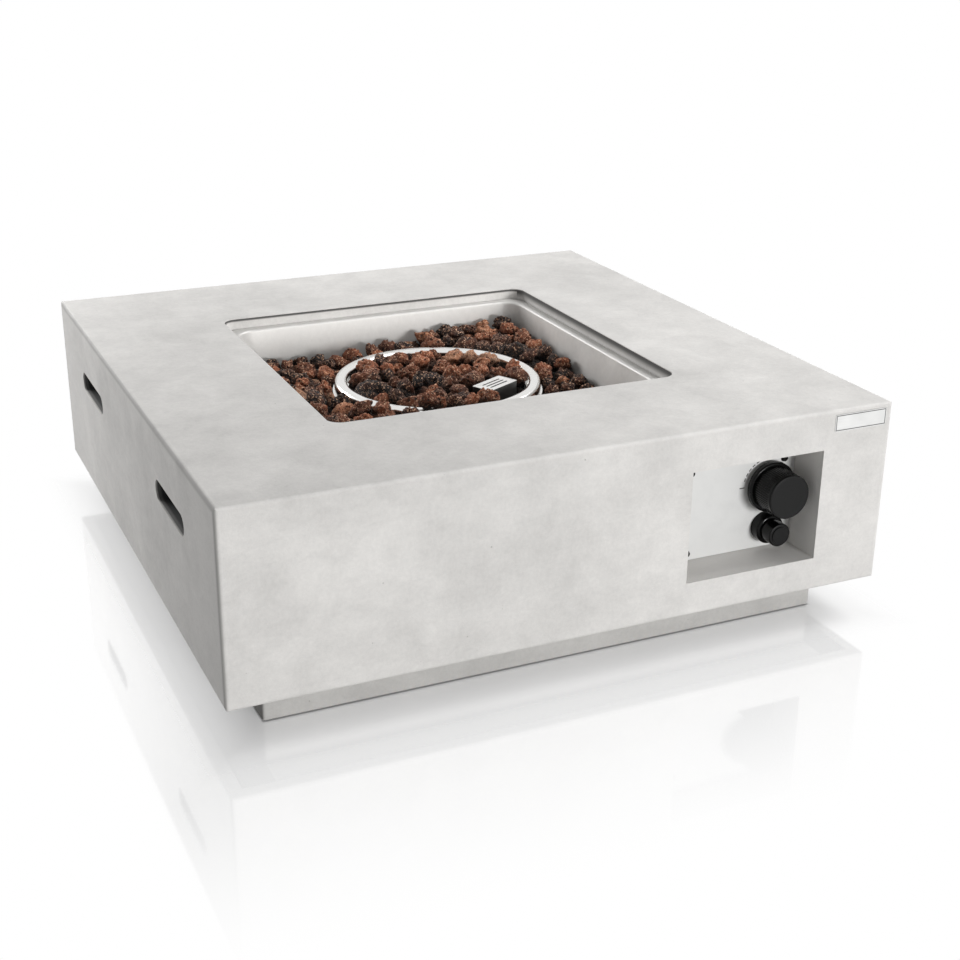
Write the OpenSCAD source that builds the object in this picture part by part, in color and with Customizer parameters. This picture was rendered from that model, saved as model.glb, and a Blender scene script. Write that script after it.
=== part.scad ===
// Gas fire pit table: a cast square shell on a set-back plinth, with a drop-in fire bowl,
// a ring burner under lava stones, and a control niche with a gas knob and a push igniter.
// The origin lies on the floor under the middle of the table, +Z is up and -Y is the control side.

/* [Table] */
// Side of the square table
table_w = 700; // [660:5:820]
// Height of the table top above the floor
table_h = 240; // [236:1:280]
// Height of the shell's lower edge above the floor
plinth_h = 45; // [40:1:48]
// Setback of the plinth behind the shell's faces
plinth_inset = 45; // [36:1:55]
// Thickness of the shell's walls and of the plinth's walls
wall_t = 14; // [12:0.5:18]
// Thickness of the table top
top_t = 16; // [12:0.5:20]
// Radius of the shell's upright edges
upright_r = 4; // [3:0.5:10]
// Radius of the shell's level edges
level_r = 3.5; // [2:0.5:8]

/* [Fire opening] */
// Side of the square opening in the top
opening_w = 386; // [360:1:400]
// Corner radius of the opening
opening_r = 16; // [10:0.5:20]
// Depth of the ledge below the top
ledge_depth = 14; // [10:0.5:16]
// Width of the ledge that carries the bowl
ledge_w = 7; // [5:0.5:9]
// Thickness of the ledge
ledge_t = 12; // [8:0.5:14]
// Width of the thick rim around the opening
rim_w = 22; // [15:1:30]

/* [Finger slots] */
// Length of a finger slot
slot_l = 110; // [90:1:140]
// Height of a finger slot
slot_h = 22; // [18:0.5:30]
// Distance of each slot's middle from the middle of the side
slot_offset = 180; // [140:1:220]
// Distance of the slots' middle line below the top
slot_drop = 65; // [50:1:80]

/* [Control niche] */
// Width of the niche
niche_w = 152; // [146:1:160]
// Height of the niche
niche_h = 118; // [114:1:124]
// Depth of the niche to the panel's face
niche_depth = 46; // [43:0.5:47]
// Distance of the niche from the shell's right face
niche_from_side = 80; // [70:1:90]
// Distance of the niche above the shell's lower edge
niche_from_edge = 36; // [34:1:40]
// Thickness of the cast walls around the niche
niche_wall = 12; // [8:0.5:12]
// Width of the lip behind the panel
niche_lip = 9; // [7:0.5:9]
// Thickness of the lip behind the panel
niche_lip_t = 10; // [8:0.5:12]
// Distance of the panel's left screws from the niche's left wall
screw_from_left = 27.5; // [24:0.5:29]
// Distance of the panel's right screws from the niche's right wall
screw_from_right = 13.5; // [12:0.5:15]
// Distance of the panel's lower screws from the niche's lower wall
screw_from_low = 8; // [7:0.5:9]
// Distance of the panel's upper screws from the niche's upper wall
screw_from_top = 22; // [18:0.5:22]
// Thickness of the control panel
panel_t = 1.5; // [1:0.25:3]
// Distance of the controls from the niche's right wall
control_from_side = 32; // [30:0.5:36]
// Distance of the knob below the niche's upper wall
knob_from_top = 48; // [44:0.5:50]
// Distance of the igniter above the niche's lower wall
igniter_from_low = 24; // [23.5:0.5:26]

/* [Name plate] */
// Width of the bare plate
plate_w = 62; // [40:1:66]
// Height of the bare plate
plate_h = 18; // [12:0.5:22]
// Thickness of the bare plate
plate_t = 1.2; // [0.8:0.1:2]
// Height of the plate's face above the shell's face
plate_proud = 0.4; // [0.2:0.1:0.6]
// Distance of the plate from the shell's right face
plate_from_side = 7.5; // [7.5:0.5:20]
// Distance of the plate's middle below the top
plate_drop = 14; // [12:0.5:20]

/* [Plinth and feet] */
// Thickness of the plinth's top flange
flange_t = 12; // [10:0.5:16]
// Width of the flange inside the plinth's wall
flange_in = 21; // [15:1:30]
// Width of the hose notch in the back of the plinth
notch_w = 70; // [40:1:100]
// Height of the hose notch
notch_h = 28; // [20:1:30]
// Length of a foot strip
foot_l = 70; // [40:1:100]
// Thickness of a foot strip
foot_t = 2; // [1.5:0.5:4]
// Distance of the foot strips from the plinth's middle lines
foot_offset = 200; // [150:5:230]
// Width of a bracket
bracket_w = 30; // [20:1:36]
// Length of a bracket's legs
bracket_leg = 40; // [36:1:48]
// Thickness of a bracket
bracket_t = 3; // [2:0.5:4]
// Distance of the front and back brackets from the inside corner
bracket_near = 36; // [30:1:38]
// Distance of the side brackets from the inside corner
bracket_far = 100; // [95:1:110]

/* [Fire bowl] */
// Depth of the bowl below the ledge
bowl_depth = 80; // [76:1:84]
// Thickness of the bowl's sheet
bowl_t = 1.5; // [1:0.25:2.5]
// Amount by which each wall leans inwards
bowl_lean = 15; // [10:1:20]
// Corner radius of the bowl's walls
bowl_r = 22; // [16:1:26]
// Diameter of the drain holes
drain_d = 8; // [5:0.5:10]

/* [Burner] */
// Middle radius of the burner ring
ring_r = 108.5; // [105:0.5:115]
// Width of the burner ring
ring_w = 14; // [14:0.5:18]
// Height of the burner ring above its base plate
ring_h = 14; // [12:0.5:18]
// Distance of the ring's upper face below the table top
ring_drop = 35; // [32:0.5:38]
// Thickness of the ring's sheet
ring_t = 1; // [0.8:0.1:1.5]
// Width of the lip beside the ring
ring_lip = 2; // [1:0.25:2]
// Number of gas ports along each side of the ring
port_count = 36; // [24:1:48]
// Diameter of a gas port
port_d = 1.8; // [1.2:0.1:2.4]
// Outer diameter of the riser
riser_d = 18; // [16:0.5:18]
// Wall of the riser
riser_t = 1.5; // [1:0.25:2.5]
// Width of a burner leg
leg_w = 15; // [12:0.5:18]
// Thickness of a burner leg
leg_t = 1.5; // [1:0.25:2]
// Length of the air mixer
mixer_l = 32; // [30:1:34]
// Outer diameter of the gas tube
tube_d = 8; // [6:0.5:8]
// Wall of the gas tube
tube_t = 1; // [0.6:0.1:1.5]
// Bend radius of the gas tube's middle line
tube_bend = 14; // [12:0.5:14]

/* [Flame hood] */
// Direction of the hood from the middle, in degrees from the right towards the front
hood_bearing = 54.5; // [52:0.5:58]
// Distance of the hood's middle from the ring's inner lip
hood_from_ring = 26; // [25:0.5:28]
// Turn of the hood about the upright
hood_turn = 28; // [20:1:34]
// Length of the hood
hood_l = 48; // [46:0.5:50]
// Width of the hood
hood_w = 26; // [25:0.5:27]
// Height of the hood's skirt
hood_h = 18; // [14:0.5:20]
// Distance of the hood's top below the table top
hood_drop = 30; // [28:0.5:33]
// Thickness of the hood's sheet
hood_t = 1; // [0.8:0.1:1.5]

/* [Knob and valve] */
// Diameter of the knob's barrel
knob_d = 47; // [44:0.5:48]
// Diameter of the knob's skirt
skirt_d = 54; // [52:0.5:56]
// Distance of the knob's front from the panel
knob_front = 40; // [37:0.5:42]
// Gap between the skirt's rim and the panel
skirt_gap = 4.75; // [4.5:0.25:6]
// Gap between the knob's hub and the panel
knob_gap = 7; // [6.5:0.5:8]
// Number of grip grooves on the knob
groove_count = 60; // [48:1:72]
// Travel of the knob when it is pushed
push_travel = 4; // [3:0.25:4]
// Diameter of the valve stem
stem_d = 8; // [7:0.5:8]
// Diameter of the valve's barrel
valve_d = 28; // [26:0.5:30]
// Length of the valve behind the panel
valve_l = 46; // [46:0.5:50]
// Bore of the valve's spring chamber
chamber_d = 16; // [15.5:0.5:18]

/* [Igniter] */
// Diameter of the igniter's bell
bell_d = 32; // [31:0.5:33]
// Height of the igniter's bell
bell_h = 13; // [11:0.5:14]
// Diameter of the cap
cap_d = 25; // [24:0.5:26]
// Distance of the cap's face from the panel
cap_front = 29; // [28:0.5:31]
// Diameter of the button
button_d = 18; // [17:0.5:18.5]
// Travel of the button
button_travel = 3; // [2:0.25:4]
// Diameter of the igniter's barrel
barrel_d = 18; // [17:0.5:18.5]
// Diameter of the battery
battery_d = 10.5; // [10:0.1:10.5]
// Length of the battery
battery_l = 44.5; // [44:0.1:45]

/* [Lava stones] */
// Number of rows in the lower layer
low_rows = 8; // [6:1:9]
// Number of rows in the upper layer
top_rows = 11; // [9:1:12]
// Gap between neighbouring stones
stone_gap = 0.4; // [0.3:0.05:0.6]
// Rise of the heap from the front to the back
heap_rise = 12; // [0:1:14]

/* [Hidden] */

$fn = 64;
eps = 0.01;
over = 1;

// Clearances
running = 0.05;
hole_clear = 0.2;
seat_gap = 0.3;
touch_gap = 0.1;
flange_gap = 2;
panel_gap = 0.5;
drop_in = 1;
end_room = 1;
probe_hole_clear = 1.5;

// Shell and plinth
half = table_w / 2;
inner_half = half - wall_t;
shell_h = table_h - plinth_h;
ledge_z = table_h - ledge_depth;
lip_half = opening_w / 2 - ledge_w;
rim_half = lip_half + rim_w;
plinth_half = half - plinth_inset;
plinth_in = plinth_half - wall_t;
hole_half = plinth_in - flange_in;
flange_half = inner_half - flange_gap;
flange_z = plinth_h + flange_t;

// Niche and controls
niche_right = half - niche_from_side;
niche_left = niche_right - niche_w;
niche_low = plinth_h + niche_from_edge;
niche_top = niche_low + niche_h;
niche_x = (niche_left + niche_right) / 2;
niche_z = (niche_low + niche_top) / 2;
panel_y = -half + niche_depth;
lip_back = niche_depth + panel_t + niche_lip_t;
control_x = niche_right - control_from_side;
knob_z = niche_top - knob_from_top;
igniter_z = niche_low + igniter_from_low;
screw_left = niche_left + screw_from_left;
screw_right = niche_right - screw_from_right;
screw_low = niche_low + screw_from_low;
screw_high = niche_top - screw_from_top;
plate_r = 2;

// Screws: shank radius, head radius and head height
m6 = [2.5, 5.5, 3];
m4 = [2, 4, 2.2];
m4_nut_af = 7;
m4_nut_h = 3.2;
screw_depth = 10;
bracket_wall_hole = 25;
bracket_flange_hole = 27;
panel_screw_boss = 7;

// Fire bowl
bowl_half = lip_half - drop_in;
bowl_floor_half = bowl_half - bowl_lean;
floor_z = ledge_z - bowl_depth;
floor_under = floor_z - bowl_t;
drain_from_wall = 34;
drain_offset = bowl_floor_half - drain_from_wall;

// Burner, from the ring down to the gas tube
ring_top = table_h - ring_drop;
ring_seat = ring_top - ring_h;
base_z = ring_seat - ring_t;
ring_edge_r = 5;
riser_r = riser_d / 2;
riser_collar = 3;
riser_nut_af = 30;
riser_nut_h = 8;
riser_nut_low = floor_under - riser_nut_h;
mixer_top = riser_nut_low - seat_gap;
mixer_low = mixer_top - mixer_l;
mixer_wall = 3;
mixer_floor = 4;
riser_in_mixer = 8;
riser_low = mixer_top - riser_in_mixer;
air_hole_h = 12;
air_hole_w = 7;
air_hole_rise = 2;
injector_r = 5;
injector_af = 17;
injector_h = 9;
tube_nut_af = 15;
tube_nut_h = 11;
injector_low = mixer_low - injector_h;
tube_nut_low = injector_low - tube_nut_h;
tube_stub = 2;
tube_level = tube_nut_low - tube_stub - tube_bend;
tube_seat = 3;
tube_from_flange = 15;
leg_angles = [90, 180, 270];
leg_foot = 24;
leg_screw_in = 14;

// Flame hood and what stands under it, in the hood's own directions
hood_top = table_h - hood_drop;
hood_r = ring_r - ring_w / 2 - ring_lip - hood_from_ring;
hood_x = hood_r * cos(hood_bearing);
hood_y = -hood_r * sin(hood_bearing);
upright_w = 36;
upright_t = 1.5;
upright_y = hood_w / 2 - hood_t - upright_t;
upright_top = hood_top - hood_t - seat_gap;
shelf_drop = 32;
shelf_z = hood_top - shelf_drop;
shelf_front = -6;
probe_offset = 9;
ceramic_d = 7;
rod_d = 2.4;
probe_d = 5;
probe_collar = 1.5;
probe_collar_h = 5;
rod_room = 6;
rod_hook = 7;
probe_reach = 22;
probe_low = floor_under - probe_reach;
ceramic_room = 17;
ceramic_top = hood_top - ceramic_room;
probe_room = 8;
probe_top = hood_top - probe_room;
foot_screw_offset = 12;
bracket_foot = 20;
foot_screw_y = upright_y + foot_screw_offset;

// Valve, measured outwards from the panel's face
bonnet_t = 4;
bonnet_w = 44;
bonnet_h = 24;
bonnet_r = 4;
bonnet_back = -panel_t - bonnet_t;
valve_back = -panel_t - valve_l;
valve_screw_offset = 16;
shoulder_d = 11;
shoulder_t = 1.5;
shoulder_front = bonnet_back - seat_gap;
collar_t = 3;
collar_front = shoulder_front - shoulder_t - touch_gap;
collar_back = collar_front - collar_t;
groove_t = 1.2;
clip_t = 1;
clip_front = collar_back - touch_gap;
stem_groove_d = 7 / 8 * stem_d;
spring_wire = 1.2;
spring_room = 15.5;
chamber_back = collar_back - spring_room;
valve_wall = 3.5;
stem_end_room = 1;
stem_back = valve_back + valve_wall + push_travel + stem_end_room;
stem_from_face = 13;
stem_front = knob_front - stem_from_face;
stem_flat = 3 / 8 * stem_d;
port_level = -25;
port_r = 8;
port_reach = 24;
port_depth = 4;
probe_port_level = -32;
probe_port_reach = 20;
probe_nut_af = 10;
probe_nut_h = 9;
hub_d = 16;
skirt_t = 4;
skirt_wall = 4;
knob_wall = 3;
knob_face_t = 5;
groove_d = 1.4;

// Gas inlet: an elbow behind the valve that points down
inlet_hex_af = 19;
inlet_hex_h = 10;
inlet_arm_d = 14;
inlet_knuckle_d = 20;
inlet_reach = 38;
inlet_hex_drop = 8;
inlet_thread_d = 15.8;
inlet_thread_l = 16;
inlet_cone_l = 4;
inlet_cone_tip_d = 11;
inlet_bore_d = 6;

// Igniter, measured outwards from the panel's face
neck_d = 19;
barrel_back = -46;
battery_play = 0.25;
battery_bore = battery_d + 2 * battery_play;
battery_front = 12.5;
battery_back = battery_front - battery_l;
battery_nub = 1;
cap_back = bell_h + end_room;
cap_wall_t = 2;
button_proud = 0.8;
button_flange_t = 1.5;
button_flange_front = cap_front - cap_wall_t - touch_gap;
button_flange_back = button_flange_front - button_flange_t;
neck_front = button_flange_back - button_travel - seat_gap;
button_wire = 0.8;
igniter_nut_af = 24;
igniter_nut_h = 5;
terminal_l = 10;

// Lead routes between their two ends, in table coordinates
lead_d = 3.5;
sensor_lead_d = 2.5;
lead_stub = 4;
rod_tail = 6;
ignition_route = [
    [229, -240, 104], [212, -232, 101], [185, -209, 97], [150, -165, 95], [100, -120, 95], [60, -90, 95]
];
sensor_route = [
    [232, -268, 194], [214, -256, 198], [182, -243, 184], [146, -229, 150],
    [118, -205, 118], [92, -150, 106], [70, -95, 104]
];

// Stones
stone_rest = floor_z + seat_gap;
low_layer_h = 25;
low_top = floor_z + low_layer_h;
stone_half_low = bowl_floor_half - bowl_t - seat_gap;
stone_lean = bowl_lean * (low_top - floor_z) / bowl_depth;
stone_half_top = stone_half_low + stone_lean;
stone_jitter = 0.16;
stone_cut = [0.3, 0.7];
stone_below_ring = 4;
stone_level = ring_top - stone_below_ring;
stone_rough = 5;
ring_clear = 1.2;
keep_clear = 1.5;

// Directions, routes and tubes
function unit(v) = v / norm(v);
function at(list, i) = list[max(0, min(len(list) - 1, i))];
function curve(a, b, c, d, t) =
    (2 * b + (c - a) * t + (2 * a - 5 * b + 4 * c - d) * t * t + (3 * b - a - 3 * c + d) * t * t * t) / 2;
function smooth_route(p, steps) = [
    for (i = [0:len(p) - 2])
        for (s = [0:steps - 1])
            curve(at(p, i - 1), p[i], p[i + 1], at(p, i + 2), s / steps),
    p[len(p) - 1]
];
function rounded_route(p, bend, steps) = [
    p[0],
    for (i = [1:len(p) - 2])
        let (a = unit(p[i] - p[i - 1]), b = unit(p[i + 1] - p[i]))
            for (k = [0:steps])
                let (t = 90 * k / steps)
                    p[i] + bend * (b - a - b * cos(t) + a * sin(t)),
    p[len(p) - 1]
];
function heading(p, i) = unit(at(p, i + 1) - at(p, i - 1));
function square_to(n, t) = unit(n - t * (n * t));
function normals(p, i, n) =
    i == len(p) ? [] : let (m = square_to(n, heading(p, i))) concat([m], normals(p, i + 1, m));

// A round solid of the given radius along a list of points
module tube_along(p, r, sides, first_normal) {
    n = normals(p, 0, first_normal);
    rings = [
        for (i = [0:len(p) - 1])
            for (k = [0:sides - 1])
                let (t = heading(p, i), a = 360 * k / sides)
                    p[i] + r * (cos(a) * n[i] + sin(a) * cross(t, n[i]))
    ];
    last = (len(p) - 1) * sides;
    ends = [p[0], p[len(p) - 1]];
    sides_faces = [
        for (i = [0:len(p) - 2])
            for (k = [0:sides - 1])
                let (a = i * sides + k, b = i * sides + (k + 1) % sides)
                    each [[a, a + sides, b + sides], [a, b + sides, b]]
    ];
    end_faces = [
        for (k = [0:sides - 1])
            let (b = (k + 1) % sides)
                each [[len(rings), k, b], [len(rings) + 1, last + b, last + k]]
    ];
    polyhedron(concat(rings, ends), concat(sides_faces, end_faces));
}

// A lead that leaves its start and reaches its end straight, and is smooth in between
module lead_along(start, start_stub, route, end, end_stub, d) {
    middle = smooth_route(concat([start + start_stub], route, [end - end_stub]), 4);
    side = abs(unit(start_stub).z) > 0.5 ? [1, 0, 0] : [0, 0, 1];
    tube_along(concat([start], middle, [end]), d / 2, 8, side);
}

// A coil spring standing on the level z = 0
module coil_spring(mean_d, wire, length, turns) {
    steps = 10;
    rise = length - wire;
    p = [
        for (i = [0:turns * steps])
            let (a = 360 * i / steps)
                [mean_d / 2 * cos(a), mean_d / 2 * sin(a), wire / 2 + rise * i / (turns * steps)]
    ];
    tube_along(p, wire / 2, 6, [1, 0, 0]);
}

// Puts children on an upright plane that faces the front: x stays, y is up, z points at the viewer
module facing_front(x, y, z) {
    translate([x, y, z]) rotate([90, 0, 0]) children();
}

module rounded_rect(w, d, r) {
    square([w - 2 * r, d], center = true);
    square([w, d - 2 * r], center = true);
    for (x = [-1, 1], y = [-1, 1])
        translate([x * (w / 2 - r), y * (d / 2 - r)]) circle(r);
}

module rounded_plate(w, d, h, r) {
    linear_extrude(h) rounded_rect(w, d, r);
}

// A block whose upright edges and level edges have their own radii
module soft_block(w, h, r_upright, r_level) {
    intersection() {
        rounded_plate(w, w, h, r_upright);
        level_slab(w, h, r_level);
        rotate(90) level_slab(w, h, r_level);
    }
}

// A slab along y whose edges along y are round
module level_slab(w, h, r) {
    translate([0, w / 2, h / 2]) rotate([90, 0, 0]) rounded_plate(w, h, w, r);
}

// A long hole with round ends, centred on the origin
module long_hole(l, h, depth) {
    linear_extrude(depth) {
        square([l - h, h], center = true);
        for (x = [-1, 1])
            translate([x * (l - h) / 2, 0]) circle(d = h);
    }
}

module hexagon(af, h) {
    cylinder(d = af / cos(30), h = h, $fn = 6);
}

module ring(r_out, r_in, h) {
    difference() {
        cylinder(r = r_out, h = h);
        translate([0, 0, -over]) cylinder(r = r_in, h = h + 2 * over);
    }
}

// A screw whose head stands on z = 0 and whose shank points down
module screw(size, shank_l) {
    socket = size[1] * 0.9;
    difference() {
        union() {
            cylinder(r1 = size[1], r2 = size[1] * 0.8, h = size[2]);
            translate([0, 0, -shank_l]) cylinder(r = size[0], h = shank_l + eps);
        }
        translate([0, 0, size[2] / 2]) hexagon(socket, size[2]);
    }
}

// The hollow of a bowl with leaning walls between two levels
module bowl_form(low, high, low_half, high_half, r) {
    low_at = low_half - r;
    high_at = high_half - r;
    hull()
        for (x = [-1, 1], y = [-1, 1]) {
            translate([x * low_at, y * low_at, low]) cylinder(r = r, h = eps, $fn = 32);
            translate([x * high_at, y * high_at, high - eps]) cylinder(r = r, h = eps, $fn = 32);
        }
}

// Places of the brackets: standing at the back wall's foot, then turned to each wall
module at_brackets() {
    for (turn = [0, 180], s = [-1, 1])
        rotate(turn) translate([s * (inner_half - bracket_near), inner_half, flange_z]) children();
    for (turn = [90, 270], s = [-1, 1])
        rotate(turn) translate([s * (inner_half - bracket_far), inner_half, flange_z]) children();
}

module at_bracket_wall_hole() {
    at_brackets() translate([0, -bracket_t, bracket_wall_hole]) rotate([90, 0, 0]) children();
}

module at_bracket_flange_hole() {
    at_brackets() translate([0, -bracket_flange_hole, bracket_t]) children();
}

module at_panel_screws() {
    for (x = [screw_left, screw_right], z = [screw_low, screw_high])
        facing_front(x, panel_y, z) children();
}

module at_hood() {
    translate([hood_x, hood_y, 0]) rotate(hood_turn) children();
}

module at_leg_screws() {
    for (a = leg_angles)
        rotate(a) translate([ring_r - leg_screw_in, 0, 0]) children();
}

module at_hood_foot_screws() {
    at_hood()
        for (x = [-1, 1])
            translate([x * foot_screw_offset, foot_screw_y, 0]) children();
}

module at_valve() {
    facing_front(control_x, panel_y, knob_z) children();
}

module at_igniter() {
    facing_front(control_x, panel_y, igniter_z) children();
}

// The window in the lip behind the panel, which leaves a boss for the screw in each corner
module niche_window() {
    boss_left = screw_left + panel_screw_boss;
    boss_right = screw_right - panel_screw_boss;
    boss_low = screw_low + panel_screw_boss;
    boss_high = screw_high - panel_screw_boss;
    depth = panel_t + niche_lip_t + over;
    translate([boss_left, panel_y, niche_low + niche_lip])
        cube([boss_right - boss_left, depth, niche_h - 2 * niche_lip]);
    translate([niche_left + niche_lip, panel_y, boss_low])
        cube([niche_w - 2 * niche_lip, depth, boss_high - boss_low]);
}

module table_shell() {
    color("gainsboro")
        difference() {
            union() {
                difference() {
                    translate([0, 0, plinth_h]) soft_block(table_w, shell_h, upright_r, level_r);
                    translate([-inner_half, -inner_half, plinth_h - over])
                        cube([2 * inner_half, 2 * inner_half, shell_h - top_t + over]);
                }
                translate([-rim_half, -rim_half, ledge_z - ledge_t])
                    cube([2 * rim_half, 2 * rim_half, ledge_depth + ledge_t - top_t / 2]);
                translate([niche_left - niche_wall, -half + wall_t / 2, niche_low - niche_wall])
                    cube([niche_w + 2 * niche_wall, lip_back - wall_t / 2, niche_h + 2 * niche_wall]);
            }
            translate([0, 0, ledge_z]) rounded_plate(opening_w, opening_w, ledge_depth + over, opening_r);
            translate([0, 0, ledge_z - ledge_t - over])
                rounded_plate(2 * lip_half, 2 * lip_half, ledge_t + 2 * over, opening_r - ledge_w);
            translate([niche_left, -half - over, niche_low])
                cube([niche_w, niche_depth + panel_t + over, niche_h]);
            niche_window();
            for (x = [-1, 1], y = [-1, 1])
                translate([x * (half - wall_t / 2), y * slot_offset, table_h - slot_drop])
                    rotate([90, 0, 90])
                        translate([0, 0, -wall_t / 2 - over]) long_hole(slot_l, slot_h, wall_t + 2 * over);
            at_bracket_wall_hole()
                translate([0, 0, -screw_depth - bracket_t - over])
                    cylinder(r = m6[0] + hole_clear, h = screw_depth + bracket_t + over);
            at_panel_screws()
                translate([0, 0, -panel_t - niche_lip_t - over])
                    cylinder(r = m4[0] + hole_clear, h = niche_lip_t + 2 * over);
            at_name_plate()
                linear_extrude(plate_t + over)
                    rounded_rect(plate_w + 2 * hole_clear, plate_h + 2 * hole_clear, plate_r + hole_clear);
        }
}

module base_plinth() {
    color("silver")
        difference() {
            union() {
                translate([0, 0, foot_t])
                    rounded_plate(2 * plinth_half, 2 * plinth_half, plinth_h - foot_t + over, upright_r);
                translate([0, 0, plinth_h])
                    rounded_plate(2 * flange_half, 2 * flange_half, flange_t, upright_r);
            }
            translate([-plinth_in, -plinth_in, -over])
                cube([2 * plinth_in, 2 * plinth_in, plinth_h + over]);
            translate([-hole_half, -hole_half, 0]) cube([2 * hole_half, 2 * hole_half, flange_z + over]);
            translate([-notch_w / 2, plinth_in - over, -over])
                cube([notch_w, wall_t + 2 * over, notch_h + over]);
            at_bracket_flange_hole()
                translate([0, 0, -bracket_t - screw_depth - over])
                    cylinder(r = m6[0] + hole_clear, h = screw_depth + bracket_t + over);
        }
}

module foot_pads() {
    pad_setback = 5;
    pad_inset = 1;
    pad_r = 2;
    pad_w = wall_t - pad_setback - pad_inset;
    color("dimgray")
        for (turn = [0:90:270], s = [-1, 1])
            rotate(turn)
                translate([s * foot_offset, plinth_half - pad_setback - pad_w / 2, 0])
                    rounded_plate(foot_l, pad_w, foot_t, pad_r);
}

module shell_brackets() {
    color("lightsteelblue")
        difference() {
            at_brackets() {
                translate([-bracket_w / 2, -bracket_t, 0]) cube([bracket_w, bracket_t, bracket_leg]);
                translate([-bracket_w / 2, -bracket_leg, 0]) cube([bracket_w, bracket_leg, bracket_t]);
            }
            at_bracket_wall_hole()
                translate([0, 0, -bracket_t - over])
                    cylinder(r = m6[0] + hole_clear, h = bracket_t + 2 * over);
            at_bracket_flange_hole()
                translate([0, 0, -bracket_t - over])
                    cylinder(r = m6[0] + hole_clear, h = bracket_t + 2 * over);
        }
}

module bracket_screws() {
    length = bracket_t + screw_depth - end_room;
    color("gray") {
        at_bracket_wall_hole() screw(m6, length);
        at_bracket_flange_hole() screw(m6, length);
    }
}

module at_name_plate() {
    facing_front(half - plate_from_side - plate_w / 2, -half, table_h - plate_drop)
        translate([0, 0, plate_proud - plate_t]) children();
}

module name_plate() {
    color("lightgray") at_name_plate() rounded_plate(plate_w, plate_h, plate_t, plate_r);
}

module fire_bowl() {
    flange_half = opening_w / 2 - drop_in;
    color("darkgray")
        difference() {
            union() {
                translate([0, 0, ledge_z])
                    rounded_plate(2 * flange_half, 2 * flange_half, bowl_t, opening_r - drop_in);
                bowl_form(floor_under, ledge_z + bowl_t / 2, bowl_floor_half, bowl_half, bowl_r);
            }
            bowl_form(
                floor_z, ledge_z + bowl_t + eps,
                bowl_floor_half - bowl_t, bowl_half - bowl_t, bowl_r - bowl_t
            );
            translate([ring_r, 0, floor_under - over])
                cylinder(r = riser_r + hole_clear, h = bowl_t + 2 * over);
            translate([0, 0, floor_under - over]) {
                at_leg_screws() cylinder(r = m4[0] + hole_clear, h = bowl_t + 2 * over);
                at_hood_foot_screws() cylinder(r = m4[0] + hole_clear, h = bowl_t + 2 * over);
                at_hood()
                    for (x = [-1, 1])
                        translate([x * probe_offset, 0, 0])
                            cylinder(d = ceramic_d + 2 * probe_hole_clear, h = bowl_t + 2 * over);
                for (x = [-1, 1], y = [-1, 1])
                    translate([x * drain_offset, y * drain_offset, 0])
                        cylinder(d = drain_d, h = bowl_t + 2 * over);
            }
        }
}

// The ring's pressed section: a flat top with round shoulders, upright sides and a lip at each foot
module ring_section(inset) {
    w = ring_w - 2 * inset;
    h = ring_h - inset;
    r = ring_edge_r - inset;
    translate([ring_r, 0]) {
        translate([-w / 2, 0]) square([w, h - r]);
        translate([-w / 2 + r, 0]) square([w - 2 * r, h]);
        for (x = [-1, 1])
            translate([x * (w / 2 - r), h - r]) circle(r);
    }
}

module burner_cover() {
    color("whitesmoke")
        translate([0, 0, ring_seat])
            difference() {
                rotate_extrude($fn = 96) {
                    difference() {
                        ring_section(0);
                        translate([0, -eps]) ring_section(ring_t);
                    }
                    for (x = [-ring_w / 2 - ring_lip, ring_w / 2 - eps])
                        translate([ring_r + x, 0]) square([ring_lip + eps, ring_t]);
                }
                for (k = [0:port_count - 1])
                    rotate((k + 0.5) * 360 / port_count)
                        translate([ring_r - ring_w, 0, ring_h / 2])
                            rotate([0, 90, 0]) cylinder(d = port_d, h = 2 * ring_w, $fn = 24);
            }
}

module burner_base() {
    color("lightgray")
        translate([0, 0, base_z])
            difference() {
                ring(ring_r + ring_w / 2 + ring_lip, ring_r - ring_w / 2 - ring_lip, ring_t);
                translate([ring_r, 0, -over]) cylinder(r = ring_w / 2 - 2 * ring_t, h = ring_t + 2 * over);
            }
}

module burner_legs() {
    leg_h = base_z - floor_z;
    color("lightgray")
        difference() {
            for (a = leg_angles)
                rotate(a) translate([ring_r, -leg_w / 2, floor_z]) {
                    translate([-leg_foot, 0, 0]) cube([leg_foot, leg_w, leg_t]);
                    translate([-leg_t, 0, 0]) cube([leg_t, leg_w, leg_h]);
                    translate([-leg_t, 0, leg_h - leg_t]) cube([ring_w / 2, leg_w, leg_t]);
                }
            at_leg_screws()
                translate([0, 0, floor_z - over]) cylinder(r = m4[0] + hole_clear, h = leg_t + 2 * over);
        }
}

module floor_screws() {
    length = bowl_t + m4_nut_h + end_room;
    color("silver") {
        at_leg_screws() translate([0, 0, floor_z + leg_t]) screw(m4, length + leg_t);
        at_hood_foot_screws() translate([0, 0, floor_z + upright_t]) screw(m4, length + upright_t);
    }
}

module floor_nuts() {
    color("silver")
        difference() {
            translate([0, 0, floor_under - m4_nut_h]) {
                at_leg_screws() hexagon(m4_nut_af, m4_nut_h);
                at_hood_foot_screws() hexagon(m4_nut_af, m4_nut_h);
            }
            translate([0, 0, floor_under - m4_nut_h - over]) {
                at_leg_screws() cylinder(r = m4[0] + running, h = m4_nut_h + 2 * over);
                at_hood_foot_screws() cylinder(r = m4[0] + running, h = m4_nut_h + 2 * over);
            }
        }
}

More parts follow.
